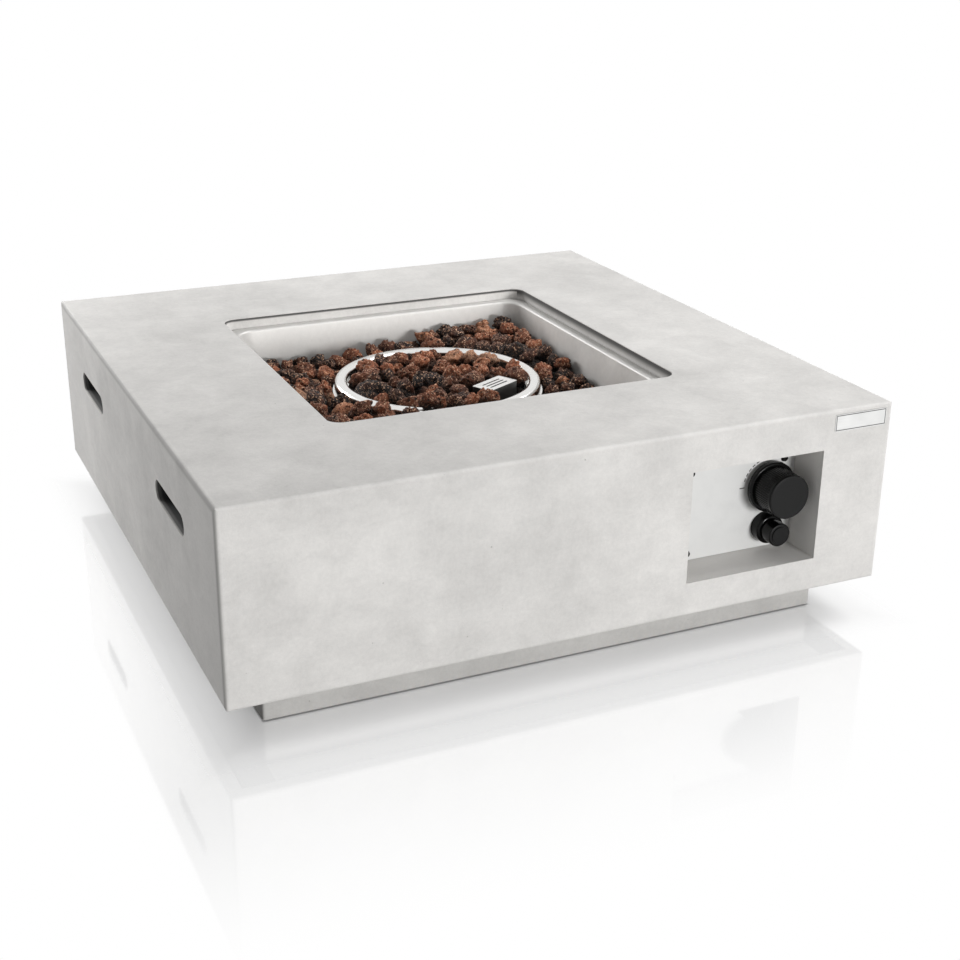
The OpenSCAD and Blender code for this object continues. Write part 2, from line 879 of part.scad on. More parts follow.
module burner_riser() {
    color("lightgray")
        translate([ring_r, 0, 0])
            difference() {
                union() {
                    translate([0, 0, riser_low]) cylinder(r = riser_r, h = base_z - riser_low);
                    translate([0, 0, floor_z]) cylinder(r = riser_r + riser_collar, h = riser_collar);
                }
                translate([0, 0, riser_low - over])
                    cylinder(r = riser_r - riser_t, h = base_z - riser_low + 2 * over);
            }
}

module riser_nut() {
    color("silver")
        translate([ring_r, 0, riser_nut_low])
            difference() {
                hexagon(riser_nut_af, riser_nut_h);
                translate([0, 0, -over]) cylinder(r = riser_r + running, h = riser_nut_h + 2 * over);
            }
}

module air_mixer() {
    color("silver")
        translate([ring_r, 0, mixer_low])
            difference() {
                cylinder(r = riser_r + mixer_wall, h = mixer_l);
                translate([0, 0, mixer_floor]) cylinder(r = riser_r + running, h = mixer_l);
                translate([0, 0, -over]) cylinder(r = injector_r + running, h = mixer_floor + 2 * over);
                for (turn = [0, 90])
                    rotate(turn)
                        translate([-riser_d, -air_hole_w / 2, mixer_floor + air_hole_rise])
                            cube([2 * riser_d, air_hole_w, air_hole_h]);
            }
}

module gas_injector() {
    stub = mixer_floor + air_hole_rise;
    jet_l = 8;
    jet_low_r = injector_r - 1;
    jet_tip_r = 2;
    jet_hole_d = 1.2;
    color("goldenrod")
        translate([ring_r, 0, injector_low])
            difference() {
                union() {
                    hexagon(injector_af, injector_h);
                    cylinder(r = injector_r, h = injector_h + stub);
                    translate([0, 0, injector_h + stub])
                        cylinder(r1 = jet_low_r, r2 = jet_tip_r, h = jet_l);
                }
                translate([0, 0, -over]) cylinder(d = tube_d + 2 * running, h = tube_seat + over);
                cylinder(d = tube_d - 2 * tube_t, h = injector_h + stub);
                cylinder(d = jet_hole_d, h = injector_h + stub + jet_l + over);
            }
}

// The tube leaves the valve's left port, turns back past the plinth's flange, goes down,
// runs under the bowl and rises into the injector
module gas_tube() {
    valve_y = panel_y - port_level;
    down_y = max(tube_from_flange - hole_half, valve_y + 2 * tube_bend + tube_stub);
    route = [
        [control_x - port_reach + tube_seat, valve_y, knob_z],
        [ring_r, valve_y, knob_z],
        [ring_r, down_y, knob_z],
        [ring_r, down_y, tube_level],
        [ring_r, 0, tube_level],
        [ring_r, 0, injector_low + tube_seat]
    ];
    steps = 6;
    sides = 16;
    last = len(route) - 1;
    bore_route = [
        for (i = [0:last])
            route[i] + (i == 0 ? [over, 0, 0] : i == last ? [0, 0, over] : [0, 0, 0])
    ];
    color("silver")
        difference() {
            tube_along(rounded_route(route, tube_bend, steps), tube_d / 2, sides, [0, 0, 1]);
            tube_along(rounded_route(bore_route, tube_bend, steps), tube_d / 2 - tube_t, sides, [0, 0, 1]);
        }
}

module tube_nut() {
    difference() {
        hexagon(tube_nut_af, tube_nut_h);
        translate([0, 0, -over]) cylinder(d = tube_d + 2 * running, h = tube_nut_h + 2 * over);
    }
}

module tube_nuts() {
    color("goldenrod") {
        translate([ring_r, 0, tube_nut_low]) tube_nut();
        at_valve() translate([-port_reach - tube_nut_h, 0, port_level]) rotate([0, 90, 0]) tube_nut();
    }
}

module hood_bracket() {
    foot_side = 6;
    foot_w = 2 * (foot_screw_offset + foot_side);
    color("gray")
        at_hood()
            difference() {
                union() {
                    translate([-upright_w / 2, upright_y, floor_z])
                        cube([upright_w, upright_t, upright_top - floor_z]);
                    translate([-foot_w / 2, upright_y, floor_z]) cube([foot_w, bracket_foot, upright_t]);
                    translate([-upright_w / 2, shelf_front, shelf_z])
                        cube([upright_w, upright_y + upright_t - shelf_front, upright_t]);
                }
                translate([-probe_offset, 0, floor_z - over])
                    cylinder(d = ceramic_d + 2 * hole_clear, h = hood_top - floor_z);
                translate([probe_offset, 0, floor_z - over])
                    cylinder(d = probe_d + 2 * hole_clear, h = hood_top - floor_z);
                for (x = [-1, 1]) {
                    translate([x * foot_screw_offset, foot_screw_y, floor_z - over])
                        cylinder(r = m4[0] + hole_clear, h = upright_t + 2 * over);
                    translate([x * hood_l / 4, upright_y - over, hood_top - hood_h / 2])
                        rotate([-90, 0, 0]) cylinder(r = m4[0] + hole_clear, h = upright_t + 2 * over);
                }
            }
}

module flame_hood() {
    slot_pitch = 5.5;
    slot_w = 2;
    slot_end = 9;
    slot_len = hood_l - 2 * slot_end;
    corner_r = 2;
    color("gainsboro")
        at_hood()
            difference() {
                translate([0, 0, hood_top - hood_h]) rounded_plate(hood_l, hood_w, hood_h, corner_r);
                translate([0, 0, hood_top - hood_h - over])
                    linear_extrude(hood_h + over - hood_t)
                        rounded_rect(hood_l - 2 * hood_t, hood_w - 2 * hood_t, corner_r / 2);
                for (k = [-1:1])
                    translate([0, k * slot_pitch, hood_top - hood_t - over])
                        long_hole(slot_len, slot_w, hood_t + 2 * over);
                for (x = [-1, 1])
                    translate([x * hood_l / 4, hood_w / 2 - hood_t - over, hood_top - hood_h / 2])
                        rotate([-90, 0, 0]) cylinder(r = m4[0] + hole_clear, h = hood_t + 2 * over);
            }
}

module hood_screws() {
    color("dimgray")
        at_hood()
            for (x = [-1, 1])
                translate([x * hood_l / 4, hood_w / 2, hood_top - hood_h / 2])
                    rotate([-90, 0, 0]) screw(m4, hood_t + upright_t + end_room);
}

module spark_electrode() {
    color("white")
        at_hood()
            translate([-probe_offset, 0, 0])
                difference() {
                    union() {
                        translate([0, 0, probe_low]) cylinder(d = ceramic_d, h = ceramic_top - probe_low);
                        translate([0, 0, shelf_z + upright_t])
                            cylinder(d = ceramic_d + 2 * probe_collar, h = probe_collar_h);
                    }
                    translate([0, 0, probe_low - over])
                        cylinder(d = rod_d + 2 * running, h = ceramic_top - probe_low + 2 * over);
                }
}

module electrode_rod() {
    tip = hood_top - rod_room;
    low = probe_low - rod_tail;
    color("dimgray")
        at_hood()
            translate([-probe_offset, 0, 0]) {
                translate([0, 0, low]) cylinder(d = rod_d, h = tip - low);
                translate([0, 0, tip - rod_d / 2]) rotate([90, 0, 0]) cylinder(d = rod_d, h = rod_hook);
            }
}

module thermocouple() {
    color("peru")
        at_hood()
            translate([probe_offset, 0, 0]) {
                translate([0, 0, probe_low]) cylinder(d = probe_d, h = probe_top - probe_low);
                translate([0, 0, shelf_z + upright_t])
                    cylinder(d = probe_d + 2 * probe_collar, h = probe_collar_h);
            }
}

// Place of a point given in the hood's own directions
function from_hood(x, y, z) = [
    hood_x + x * cos(hood_turn) - y * sin(hood_turn),
    hood_y + x * sin(hood_turn) + y * cos(hood_turn),
    z
];

module thermocouple_lead() {
    start = [control_x, panel_y - probe_port_level, knob_z + probe_port_reach];
    end = from_hood(probe_offset, 0, probe_low);
    first = [0, 0, probe_nut_h + lead_stub];
    color("peru") lead_along(start, first, sensor_route, end, [0, 0, lead_stub], sensor_lead_d);
}

module thermocouple_nut() {
    color("goldenrod")
        translate([control_x, panel_y - probe_port_level, knob_z + probe_port_reach])
            difference() {
                hexagon(probe_nut_af, probe_nut_h);
                translate([0, 0, -over])
                    cylinder(d = sensor_lead_d + 2 * running, h = probe_nut_h + 2 * over);
            }
}

module ignition_lead() {
    start = [control_x, panel_y - barrel_back + terminal_l, igniter_z];
    end = from_hood(-probe_offset, 0, probe_low - rod_tail);
    color("black") lead_along(start, [0, lead_stub, 0], ignition_route, end, [0, 0, lead_stub], lead_d);
}

module control_panel() {
    cut = 4 * panel_t;
    stem_hole_clear = 2;
    color("white")
        difference() {
            facing_front(niche_x, panel_y + panel_t, niche_z)
                linear_extrude(panel_t)
                    square([niche_w - 2 * panel_gap, niche_h - 2 * panel_gap], center = true);
            at_valve() {
                cylinder(d = stem_d + 2 * stem_hole_clear, h = cut, center = true);
                for (x = [-1, 1])
                    translate([x * valve_screw_offset, 0, 0])
                        cylinder(r = m4[0] + hole_clear, h = cut, center = true);
            }
            at_igniter() cylinder(r = barrel_d / 2 + hole_clear, h = cut, center = true);
            at_panel_screws() cylinder(r = m4[0] + hole_clear, h = cut, center = true);
        }
}

module panel_screws() {
    color("black") at_panel_screws() screw(m4, panel_t + niche_lip_t);
}

module gas_valve() {
    color("darkgray")
        at_valve()
            difference() {
                union() {
                    translate([0, 0, valve_back]) cylinder(d = valve_d, h = bonnet_back - valve_back);
                    translate([-bonnet_w / 2, -bonnet_h / 2, bonnet_back - bonnet_t])
                        cube([bonnet_w, bonnet_h, bonnet_t]);
                    translate([-port_reach, 0, port_level])
                        rotate([0, 90, 0]) cylinder(r = port_r, h = port_reach);
                    translate([0, 0, probe_port_level])
                        rotate([-90, 0, 0]) cylinder(d = probe_nut_af, h = probe_port_reach);
                }
                translate([0, 0, chamber_back])
                    cylinder(d = chamber_d, h = bonnet_back - chamber_back + over);
                translate([0, 0, valve_back + valve_wall])
                    cylinder(d = stem_d + 2 * running, h = valve_l);
                for (x = [-1, 1])
                    translate([x * valve_screw_offset, 0, bonnet_back - bonnet_t - over])
                        cylinder(r = m4[0] + hole_clear, h = bonnet_t + 2 * over);
                translate([-port_reach - over, 0, port_level])
                    rotate([0, 90, 0]) cylinder(d = tube_d + 2 * running, h = tube_seat + port_depth + over);
                translate([0, 0, valve_back - over]) cylinder(d = inlet_bore_d, h = valve_wall + 2 * over);
            }
}

module valve_bonnet() {
    color("silver")
        at_valve()
            difference() {
                translate([0, 0, bonnet_back])
                    rounded_plate(bonnet_w, bonnet_h, bonnet_t, bonnet_r);
                cylinder(d = stem_d + 2 * running, h = 4 * bonnet_t, center = true);
                for (x = [-1, 1])
                    translate([x * valve_screw_offset, 0, 0])
                        cylinder(r = m4[0] + hole_clear, h = 4 * bonnet_t, center = true);
            }
}

module valve_screws() {
    color("silver")
        at_valve()
            for (x = [-1, 1])
                translate([x * valve_screw_offset, 0, 0]) screw(m4, panel_t + 2 * bonnet_t);
}

module inlet_fitting() {
    thread_drop = inlet_hex_drop + inlet_hex_h;
    cone_drop = thread_drop + inlet_thread_l;
    color("goldenrod")
        at_valve()
            translate([0, 0, valve_back]) rotate([180, 0, 0])
                difference() {
                    union() {
                        hexagon(inlet_hex_af, inlet_hex_h);
                        cylinder(d = inlet_arm_d, h = inlet_reach);
                        translate([0, 0, inlet_reach]) sphere(d = inlet_knuckle_d);
                        translate([0, 0, inlet_reach]) rotate([-90, 0, 0]) {
                            cylinder(d = inlet_arm_d, h = thread_drop);
                            translate([0, 0, inlet_hex_drop]) hexagon(inlet_hex_af, inlet_hex_h);
                            translate([0, 0, thread_drop]) cylinder(d = inlet_thread_d, h = inlet_thread_l);
                            translate([0, 0, cone_drop])
                                cylinder(d1 = inlet_thread_d, d2 = inlet_cone_tip_d, h = inlet_cone_l);
                        }
                    }
                    translate([0, 0, -over]) cylinder(d = inlet_bore_d, h = inlet_reach + over);
                    translate([0, 0, inlet_reach]) rotate([-90, 0, 0])
                        cylinder(d = inlet_bore_d, h = cone_drop + inlet_cone_l + over);
                }
}

module stem_collar() {
    color("silver")
        at_valve()
            translate([0, 0, collar_back])
                ring(chamber_d / 2 - running, stem_d / 2 + running, collar_t);
}

module stem_spring() {
    mean_d = (shoulder_d + chamber_d) / 2 - seat_gap;
    turns = 6;
    color("lightsteelblue")
        at_valve()
            translate([0, 0, chamber_back + touch_gap])
                coil_spring(mean_d, spring_wire, spring_room - 2 * touch_gap, turns);
}

module valve_stem() {
    color("silver")
        at_valve()
            difference() {
                union() {
                    translate([0, 0, stem_back]) cylinder(d = stem_d, h = stem_front - stem_back);
                    translate([0, 0, shoulder_front - shoulder_t]) cylinder(d = shoulder_d, h = shoulder_t);
                }
                translate([0, 0, clip_front - groove_t]) ring(stem_d, stem_groove_d / 2, groove_t);
                translate([-stem_d, stem_flat, knob_gap]) cube([2 * stem_d, stem_d, knob_front]);
            }
}

module stem_clip() {
    color("dimgray")
        at_valve()
            translate([0, 0, clip_front - (groove_t + clip_t) / 2])
                difference() {
                    ring(shoulder_d / 2, stem_groove_d / 2 + running, clip_t);
                    translate([-stem_d / 4, 0, -over]) cube([stem_d / 2, shoulder_d, clip_t + 2 * over]);
                }
}

module control_knob() {
    barrel_back_z = knob_gap + skirt_t;
    pocket_d = knob_d - 2 * knob_wall - groove_d;
    edge = 2;
    skirt_edge = 2;
    color("dimgray")
        at_valve()
            difference() {
                union() {
                    translate([0, 0, skirt_gap])
                        rotate_extrude() {
                            square([skirt_d / 2, barrel_back_z - skirt_gap - skirt_edge]);
                            square([skirt_d / 2 - skirt_edge, barrel_back_z - skirt_gap]);
                            translate([skirt_d / 2 - skirt_edge, barrel_back_z - skirt_gap - skirt_edge])
                                intersection() {
                                    circle(skirt_edge);
                                    square(skirt_edge);
                                }
                        }
                    translate([0, 0, barrel_back_z])
                        linear_extrude(knob_front - barrel_back_z - knob_face_t)
                            difference() {
                                circle(d = knob_d);
                                for (k = [0:groove_count - 1])
                                    rotate(360 * k / groove_count)
                                        translate([knob_d / 2, 0]) circle(d = groove_d, $fn = 24);
                            }
                    translate([0, 0, knob_front - knob_face_t])
                        rotate_extrude() {
                            square([knob_d / 2, knob_face_t - edge]);
                            square([knob_d / 2 - edge, knob_face_t]);
                            translate([knob_d / 2 - edge, knob_face_t - edge])
                                intersection() {
                                    circle(edge);
                                    square(edge);
                                }
                        }
                }
                translate([0, 0, knob_gap - over])
                    ring(pocket_d / 2, hub_d / 2, knob_front - knob_gap - knob_face_t);
                translate([0, 0, skirt_gap - over])
                    cylinder(d = skirt_d - 2 * skirt_wall, h = knob_gap - skirt_gap + over);
                difference() {
                    translate([0, 0, knob_gap - over])
                        cylinder(d = stem_d + 2 * running, h = stem_front + end_room - knob_gap + over);
                    translate([-stem_d, stem_flat + running, 0]) cube([2 * stem_d, stem_d, knob_front]);
                }
            }
}

module igniter_body() {
    bell_edge = 0.5;
    shoulder_r = bell_d / 2 - cap_d / 2 - bell_edge;
    color("black")
        at_igniter()
            difference() {
                union() {
                    rotate_extrude() {
                        square([bell_d / 2, bell_h - shoulder_r]);
                        square([bell_d / 2 - shoulder_r, bell_h]);
                        translate([bell_d / 2 - shoulder_r, bell_h - shoulder_r])
                            intersection() {
                                circle(shoulder_r);
                                square(shoulder_r);
                            }
                    }
                    cylinder(d = neck_d, h = neck_front);
                    translate([0, 0, barrel_back]) cylinder(d = barrel_d, h = -barrel_back + eps);
                }
                translate([0, 0, battery_back - touch_gap])
                    cylinder(d = battery_bore, h = neck_front - battery_back + over);
            }
}

module igniter_nut() {
    color("dimgray")
        at_igniter()
            translate([0, 0, -panel_t - igniter_nut_h])
                difference() {
                    hexagon(igniter_nut_af, igniter_nut_h);
                    translate([0, 0, -over])
                        cylinder(r = barrel_d / 2 + running, h = igniter_nut_h + 2 * over);
                }
}

module igniter_battery() {
    color("gold")
        at_igniter()
            translate([0, 0, battery_back]) {
                cylinder(d = battery_d, h = battery_l - battery_nub);
                cylinder(d = battery_d / 3, h = battery_l);
            }
}

module lead_terminal() {
    blade_w = 6;
    blade_t = 1;
    color("goldenrod")
        at_igniter()
            translate([-blade_w / 2, -blade_t / 2, barrel_back - terminal_l])
                cube([blade_w, blade_t, terminal_l]);
}

module igniter_cap() {
    edge = 1.5;
    color("black")
        at_igniter()
            difference() {
                translate([0, 0, cap_back])
                    rotate_extrude() {
                        square([cap_d / 2, cap_front - cap_back - edge]);
                        square([cap_d / 2 - edge, cap_front - cap_back]);
                        translate([cap_d / 2 - edge, cap_front - cap_back - edge])
                            intersection() {
                                circle(edge);
                                square(edge);
                            }
                    }
                translate([0, 0, cap_back - over])
                    cylinder(d = neck_d + 2 * running, h = cap_front - cap_back - cap_wall_t + over);
                cylinder(d = button_d + 2 * running, h = cap_front + over);
            }
}

module button_spring() {
    low = battery_front + seat_gap;
    mean_d = battery_d - 2 * button_wire;
    turns = 5;
    color("lightsteelblue")
        at_igniter()
            translate([0, 0, low])
                coil_spring(mean_d, button_wire, button_flange_back - low - touch_gap, turns);
}

module igniter_button() {
    color("dimgray")
        at_igniter() {
            translate([0, 0, button_flange_back])
                cylinder(d = button_d, h = cap_front + button_proud - button_flange_back);
            translate([0, 0, button_flange_back]) cylinder(d = neck_d - 2 * running, h = button_flange_t);
        }
}

// A stone fills a box whose eight corners are cut off at points along its twelve edges
module stone(lo, hi, cuts) {
    d = hi - lo;
    p = [
        [lo.x + cuts[0] * d.x, lo.y, lo.z], [lo.x + cuts[1] * d.x, hi.y, lo.z],
        [lo.x + cuts[2] * d.x, lo.y, hi.z], [lo.x + cuts[3] * d.x, hi.y, hi.z],
        [lo.x, lo.y + cuts[4] * d.y, lo.z], [hi.x, lo.y + cuts[5] * d.y, lo.z],
        [lo.x, lo.y + cuts[6] * d.y, hi.z], [hi.x, lo.y + cuts[7] * d.y, hi.z],
        [lo.x, lo.y, lo.z + cuts[8] * d.z], [hi.x, lo.y, lo.z + cuts[9] * d.z],
        [lo.x, hi.y, lo.z + cuts[10] * d.z], [hi.x, hi.y, lo.z + cuts[11] * d.z]
    ];
    flats = [[0, 5, 1, 4], [2, 6, 3, 7], [0, 8, 2, 9], [1, 11, 3, 10], [4, 10, 6, 8], [5, 9, 7, 11]];
    corners = [[0, 4, 8], [0, 9, 5], [1, 10, 4], [1, 5, 11], [2, 8, 6], [2, 7, 9], [3, 6, 10], [3, 11, 7]];
    polyhedron(p, concat(flats, corners));
}

// Uneven edges of a row of stones across the bowl
function row_edges(count, w, seed) =
    let (pitch = 2 * w / count, shift = rands(-stone_jitter, stone_jitter, count + 1, seed))
        [for (i = [0:count]) -w + pitch * (i + (i == 0 || i == count ? 0 : shift[i]))];

// Flat areas that the burner's riser, its legs and the hood take up: [low x, low y, high x, high y]
function area(x, y, reach_x, reach_y) = [x - reach_x, y - reach_y, x + reach_x, y + reach_y];
function leg_area(a, r_in, r_out) =
    let (middle = (r_in + r_out) / 2, along = (r_out - r_in) / 2, is_x = abs(cos(a)) > 0.5)
        area(middle * cos(a), middle * sin(a), is_x ? along : leg_w / 2, is_x ? leg_w / 2 : along);
// A turned rectangle in the hood's own directions, as the upright box around it
function hood_area(y_low, y_high, reach_x) =
    let (
        p = [for (x = [-1, 1], y = [y_low, y_high]) from_hood(x * reach_x, y, 0)],
        xs = [for (c = p) c.x],
        ys = [for (c = p) c.y]
    ) [min(xs), min(ys), max(xs), max(ys)];
screw_head = m4[1] + end_room;
taken_low = concat(
    [area(ring_r, 0, riser_r + riser_collar, riser_r + riser_collar)],
    [hood_area(-probe_d, upright_y + bracket_foot, foot_screw_offset + screw_head)],
    [for (a = leg_angles) leg_area(a, ring_r - leg_foot, ring_r)]
);
taken_top = concat(
    [area(ring_r, 0, riser_r, riser_r)],
    [hood_area(-hood_w / 2, hood_w / 2 + screw_head, hood_l / 2)],
    [for (a = leg_angles) leg_area(a, ring_r - leg_t, ring_r)]
);
function apart(lo, hi, t) =
    hi.x + keep_clear < t[0] || lo.x - keep_clear > t[2]
    || hi.y + keep_clear < t[1] || lo.y - keep_clear > t[3];
function is_free(lo, hi, taken) = len([for (t = taken) if (!apart(lo, hi, t)) 1]) == 0;

// Nearest and farthest distance of a cell from the middle
function near_1(lo, hi) = lo > 0 ? lo : hi < 0 ? -hi : 0;
function far_1(lo, hi) = max(abs(lo), abs(hi));
function under_ring(lo, hi) =
    norm([near_1(lo.x, hi.x), near_1(lo.y, hi.y)]) < ring_r + ring_w / 2 + ring_lip + ring_clear
    && norm([far_1(lo.x, hi.x), far_1(lo.y, hi.y)]) > ring_r - ring_w / 2 - ring_lip - ring_clear;
function heap_top(lo, hi, rough) =
    under_ring(lo, hi) ? base_z - leg_t - ring_clear
    : stone_level + rough + heap_rise * (lo.y + hi.y) / (4 * stone_half_top);

// Rows of stones from a low level up to a fixed top, or up to the heap where the top is 0
module stone_layer(rows, w, low, fixed_top, taken, seed) {
    corner_in = bowl_r * (1 - sqrt(0.5)) + seat_gap;
    ys = row_edges(rows, w, seed);
    for (j = [0:rows - 1]) {
        xs = row_edges(rows, w, seed + 7 * j + 1);
        for (i = [0:rows - 1]) {
            corner = (i == 0 || i == rows - 1) && (j == 0 || j == rows - 1);
            inset = corner ? corner_in : 0;
            side = [stone_gap, stone_gap] / 2;
            lo = [xs[i], ys[j]] + side + [i == 0 ? inset : 0, j == 0 ? inset : 0];
            hi = [xs[i + 1], ys[j + 1]] - side - [i == 0 ? 0 : inset, j == 0 ? 0 : inset];
            numbers = rands(stone_cut[0], stone_cut[1], 12, seed + 31 * j + 577 * i);
            rough = rands(-stone_rough, stone_rough, 1, seed + 17 * j + 311 * i)[0];
            top = fixed_top > 0 ? fixed_top : heap_top(lo, hi, rough);
            if (is_free(lo, hi, taken)) stone([lo.x, lo.y, low], [hi.x, hi.y, top], numbers);
        }
    }
}

module lava_stones_low() {
    seed = 11;
    color("saddlebrown") stone_layer(low_rows, stone_half_low, stone_rest, low_top, taken_low, seed);
}

module lava_stones_top() {
    seed = 23;
    color("sienna") stone_layer(top_rows, stone_half_top, low_top + stone_gap, 0, taken_top, seed);
}

table_shell();
base_plinth();
foot_pads();
shell_brackets();
bracket_screws();
name_plate();
fire_bowl();
burner_cover();
burner_base();
burner_legs();
floor_screws();
floor_nuts();
burner_riser();
riser_nut();
air_mixer();
gas_injector();
gas_tube();
tube_nuts();
hood_bracket();
flame_hood();
hood_screws();
spark_electrode();
electrode_rod();
thermocouple();
thermocouple_lead();
thermocouple_nut();
ignition_lead();
control_panel();
panel_screws();
gas_valve();
valve_bonnet();
valve_screws();
inlet_fitting();
stem_collar();
stem_spring();
valve_stem();
stem_clip();
control_knob();
igniter_body();
igniter_nut();
igniter_battery();
lead_terminal();
igniter_cap();
button_spring();
igniter_button();
lava_stones_low();
lava_stones_top();
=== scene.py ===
"""Looks of the gas fire pit table: finishes, pressed bowl, springs, lava rock and studio."""
import math

import bmesh
import bpy
import numpy as np
from mathutils import Matrix, Vector


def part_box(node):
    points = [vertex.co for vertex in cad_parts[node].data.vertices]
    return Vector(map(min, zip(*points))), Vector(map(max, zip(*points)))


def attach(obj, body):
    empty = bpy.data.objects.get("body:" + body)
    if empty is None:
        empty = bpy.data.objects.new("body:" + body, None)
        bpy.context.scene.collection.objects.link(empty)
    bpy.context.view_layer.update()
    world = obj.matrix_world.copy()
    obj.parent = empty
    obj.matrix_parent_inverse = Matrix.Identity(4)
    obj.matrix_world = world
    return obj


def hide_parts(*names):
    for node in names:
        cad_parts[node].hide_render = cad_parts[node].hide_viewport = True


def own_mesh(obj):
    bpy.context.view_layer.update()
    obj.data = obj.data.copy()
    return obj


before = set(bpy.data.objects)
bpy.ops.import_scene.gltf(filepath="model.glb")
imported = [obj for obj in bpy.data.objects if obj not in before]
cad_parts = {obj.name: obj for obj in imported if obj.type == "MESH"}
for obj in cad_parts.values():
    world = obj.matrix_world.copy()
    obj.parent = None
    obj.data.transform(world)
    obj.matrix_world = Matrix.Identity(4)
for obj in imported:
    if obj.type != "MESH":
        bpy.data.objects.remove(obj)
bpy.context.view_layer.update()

# Sizes read from the frame, in metres
shell_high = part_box("table_shell")[1]
plinth_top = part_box("base_plinth")[1][2]
bowl_low, bowl_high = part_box("fire_bowl")
ring_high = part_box("burner_cover")[1]
hood_low, hood_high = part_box("flame_hood")
knob_low, knob_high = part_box("control_knob")
panel_low, panel_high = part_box("control_panel")
plate_low, plate_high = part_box("name_plate")
table_half = shell_high[0]
table_top = shell_high[2]
knob_x = (knob_low[0] + knob_high[0]) / 2
knob_z = (knob_low[2] + knob_high[2]) / 2
hood_middle = ((hood_low[0] + hood_high[0]) / 2, (hood_low[1] + hood_high[1]) / 2)
ring_top = ring_high[2]
ring_out = ring_high[0]

# Sizes of the pieces made here, in metres, and the hood's turn
plinth_half = 0.305
opening_half = 0.193
sheet = 0.0015
bowl_corner = 0.022
flange_width = 0.0095
rim_round = 0.0025
floor_round = 0.011
bowl_lean = 0.015
ring_band = 0.014
hood_long = 0.048
hood_wide = 0.026
hood_turn = math.radians(28)


class Wire:
    """One socket of a finish: sums, products and comparisons of wires add Math nodes."""

    def __init__(self, finish, socket):
        self.finish = finish
        self.socket = socket

    def __add__(self, other):
        return self.finish.math("ADD", self, other)

    def __sub__(self, other):
        return self.finish.math("SUBTRACT", self, other)

    def __rsub__(self, other):
        return self.finish.math("SUBTRACT", other, self)

    def __mul__(self, other):
        return self.finish.math("MULTIPLY", self, other)

    def __gt__(self, other):
        return self.finish.math("GREATER_THAN", self, other)

    def __lt__(self, other):
        return self.finish.math("LESS_THAN", self, other)

    def __or__(self, other):
        return self.finish.math("MAXIMUM", self, other)

    def __abs__(self):
        return self.finish.math("ABSOLUTE", self)

    __radd__ = __add__
    __rmul__ = __mul__


class Finish:
    """A material or a world, built node by node."""

    def __init__(self, owner):
        self.owner = owner
        owner.use_nodes = True
        self.tree = owner.node_tree
        self.tree.nodes.clear()

    def node(self, kind, settings=None, inputs=None, output=0):
        """Adds a node, sets it up, fills or links its sockets, and gives back one of its outputs."""
        node = self.tree.nodes.new("ShaderNode" + kind)
        for name, value in (settings or {}).items():
            if name == "stops":
                self.set_stops(node.color_ramp, value)
            else:
                setattr(node, name, value)
        for key, value in (inputs or {}).items():
            if isinstance(value, Wire):
                self.tree.links.new(value.socket, node.inputs[key])
            else:
                node.inputs[key].default_value = value
        return Wire(self, node.outputs[output]) if node.outputs else None

    def set_stops(self, ramp, stops):
        """Gives a colour ramp its places and colours."""
        while len(ramp.elements) < len(stops):
            ramp.elements.new(1.0)
        for element, (place, colour) in zip(ramp.elements, stops):
            element.position = place
            element.color = (*colour, 1.0)

    def math(self, operation, a, b=0.0):
        return self.node("Math", {"operation": operation}, {0: a, 1: b})

    def position(self):
        """Place on the object, in metres from the part's origin."""
        return self.node("TexCoord", output="Object")

    def split(self, vector):
        return [self.node("SeparateXYZ", None, {0: vector}, axis) for axis in range(3)]

    def join(self, x, y, z):
        return self.node("CombineXYZ", None, {0: x, 1: y, 2: z})

    def scaled(self, vector, factors):
        return self.node("VectorMath", {"operation": "MULTIPLY"}, {0: vector, 1: factors})

    def noise(self, vector, scale, detail=3.0, rough=0.5, swirl=0.0):
        inputs = {"Vector": vector, "Scale": scale, "Detail": detail}
        inputs |= {"Roughness": rough, "Distortion": swirl}
        return self.node("TexNoise", None, inputs)

    def cells(self, vector, scale):
        """Distance to the nearest cell's middle, and a random number for each cell."""
        inputs = {"Vector": vector, "Scale": scale}
        distance = self.node("TexVoronoi", None, inputs)
        colour = self.node("TexVoronoi", None, inputs, "Color")
        return distance, self.node("SeparateColor", None, {0: colour})

    def smooth(self, value, start, end):
        """Goes softly from 0 at start to 1 at end."""
        inputs = {"Value": value, "From Min": start, "From Max": end}
        return self.node("MapRange", {"interpolation_type": "SMOOTHSTEP"}, inputs)

    def ramp(self, value, stops):
        return self.node("ValToRGB", {"stops": stops}, {0: value})

    def mix(self, factor, a, b, blend="MIX"):
        settings = {"data_type": "RGBA", "blend_type": blend, "clamp_factor": True}
        return self.node("Mix", settings, {0: factor, 6: solid(a), 7: solid(b)}, 2)

    def bump(self, height, distance, strength=1.0):
        return self.node("Bump", None, {"Height": height, "Distance": distance, "Strength": strength})

    def seen(self):
        """1 for what the camera sees, straight, mirrored or through glass, and 0 for other light."""
        straight = self.node("LightPath", output="Is Camera Ray")
        mirrored = self.node("LightPath", output="Is Glossy Ray")
        through = self.node("LightPath", output="Is Transmission Ray")
        return straight | mirrored | through

    def surface(self, **sockets):
        """The shader: each keyword is a socket's name with underscores for spaces."""
        inputs = {name.replace("_", " "): solid(value) for name, value in sockets.items()}
        self.output(self.node("BsdfPrincipled", None, inputs))
        return self.owner

    def output(self, shader):
        kind = "OutputWorld" if isinstance(self.owner, bpy.types.World) else "OutputMaterial"
        self.node(kind, None, {"Surface": shader})


def solid(value):
    """A colour of three numbers gets its fourth."""
    return (*value, 1.0) if isinstance(value, tuple) and len(value) == 3 else value


def new_finish(name):
    return Finish(bpy.data.materials.new(name))


def darker(colour, factor):
    return tuple(channel * factor for channel in colour)


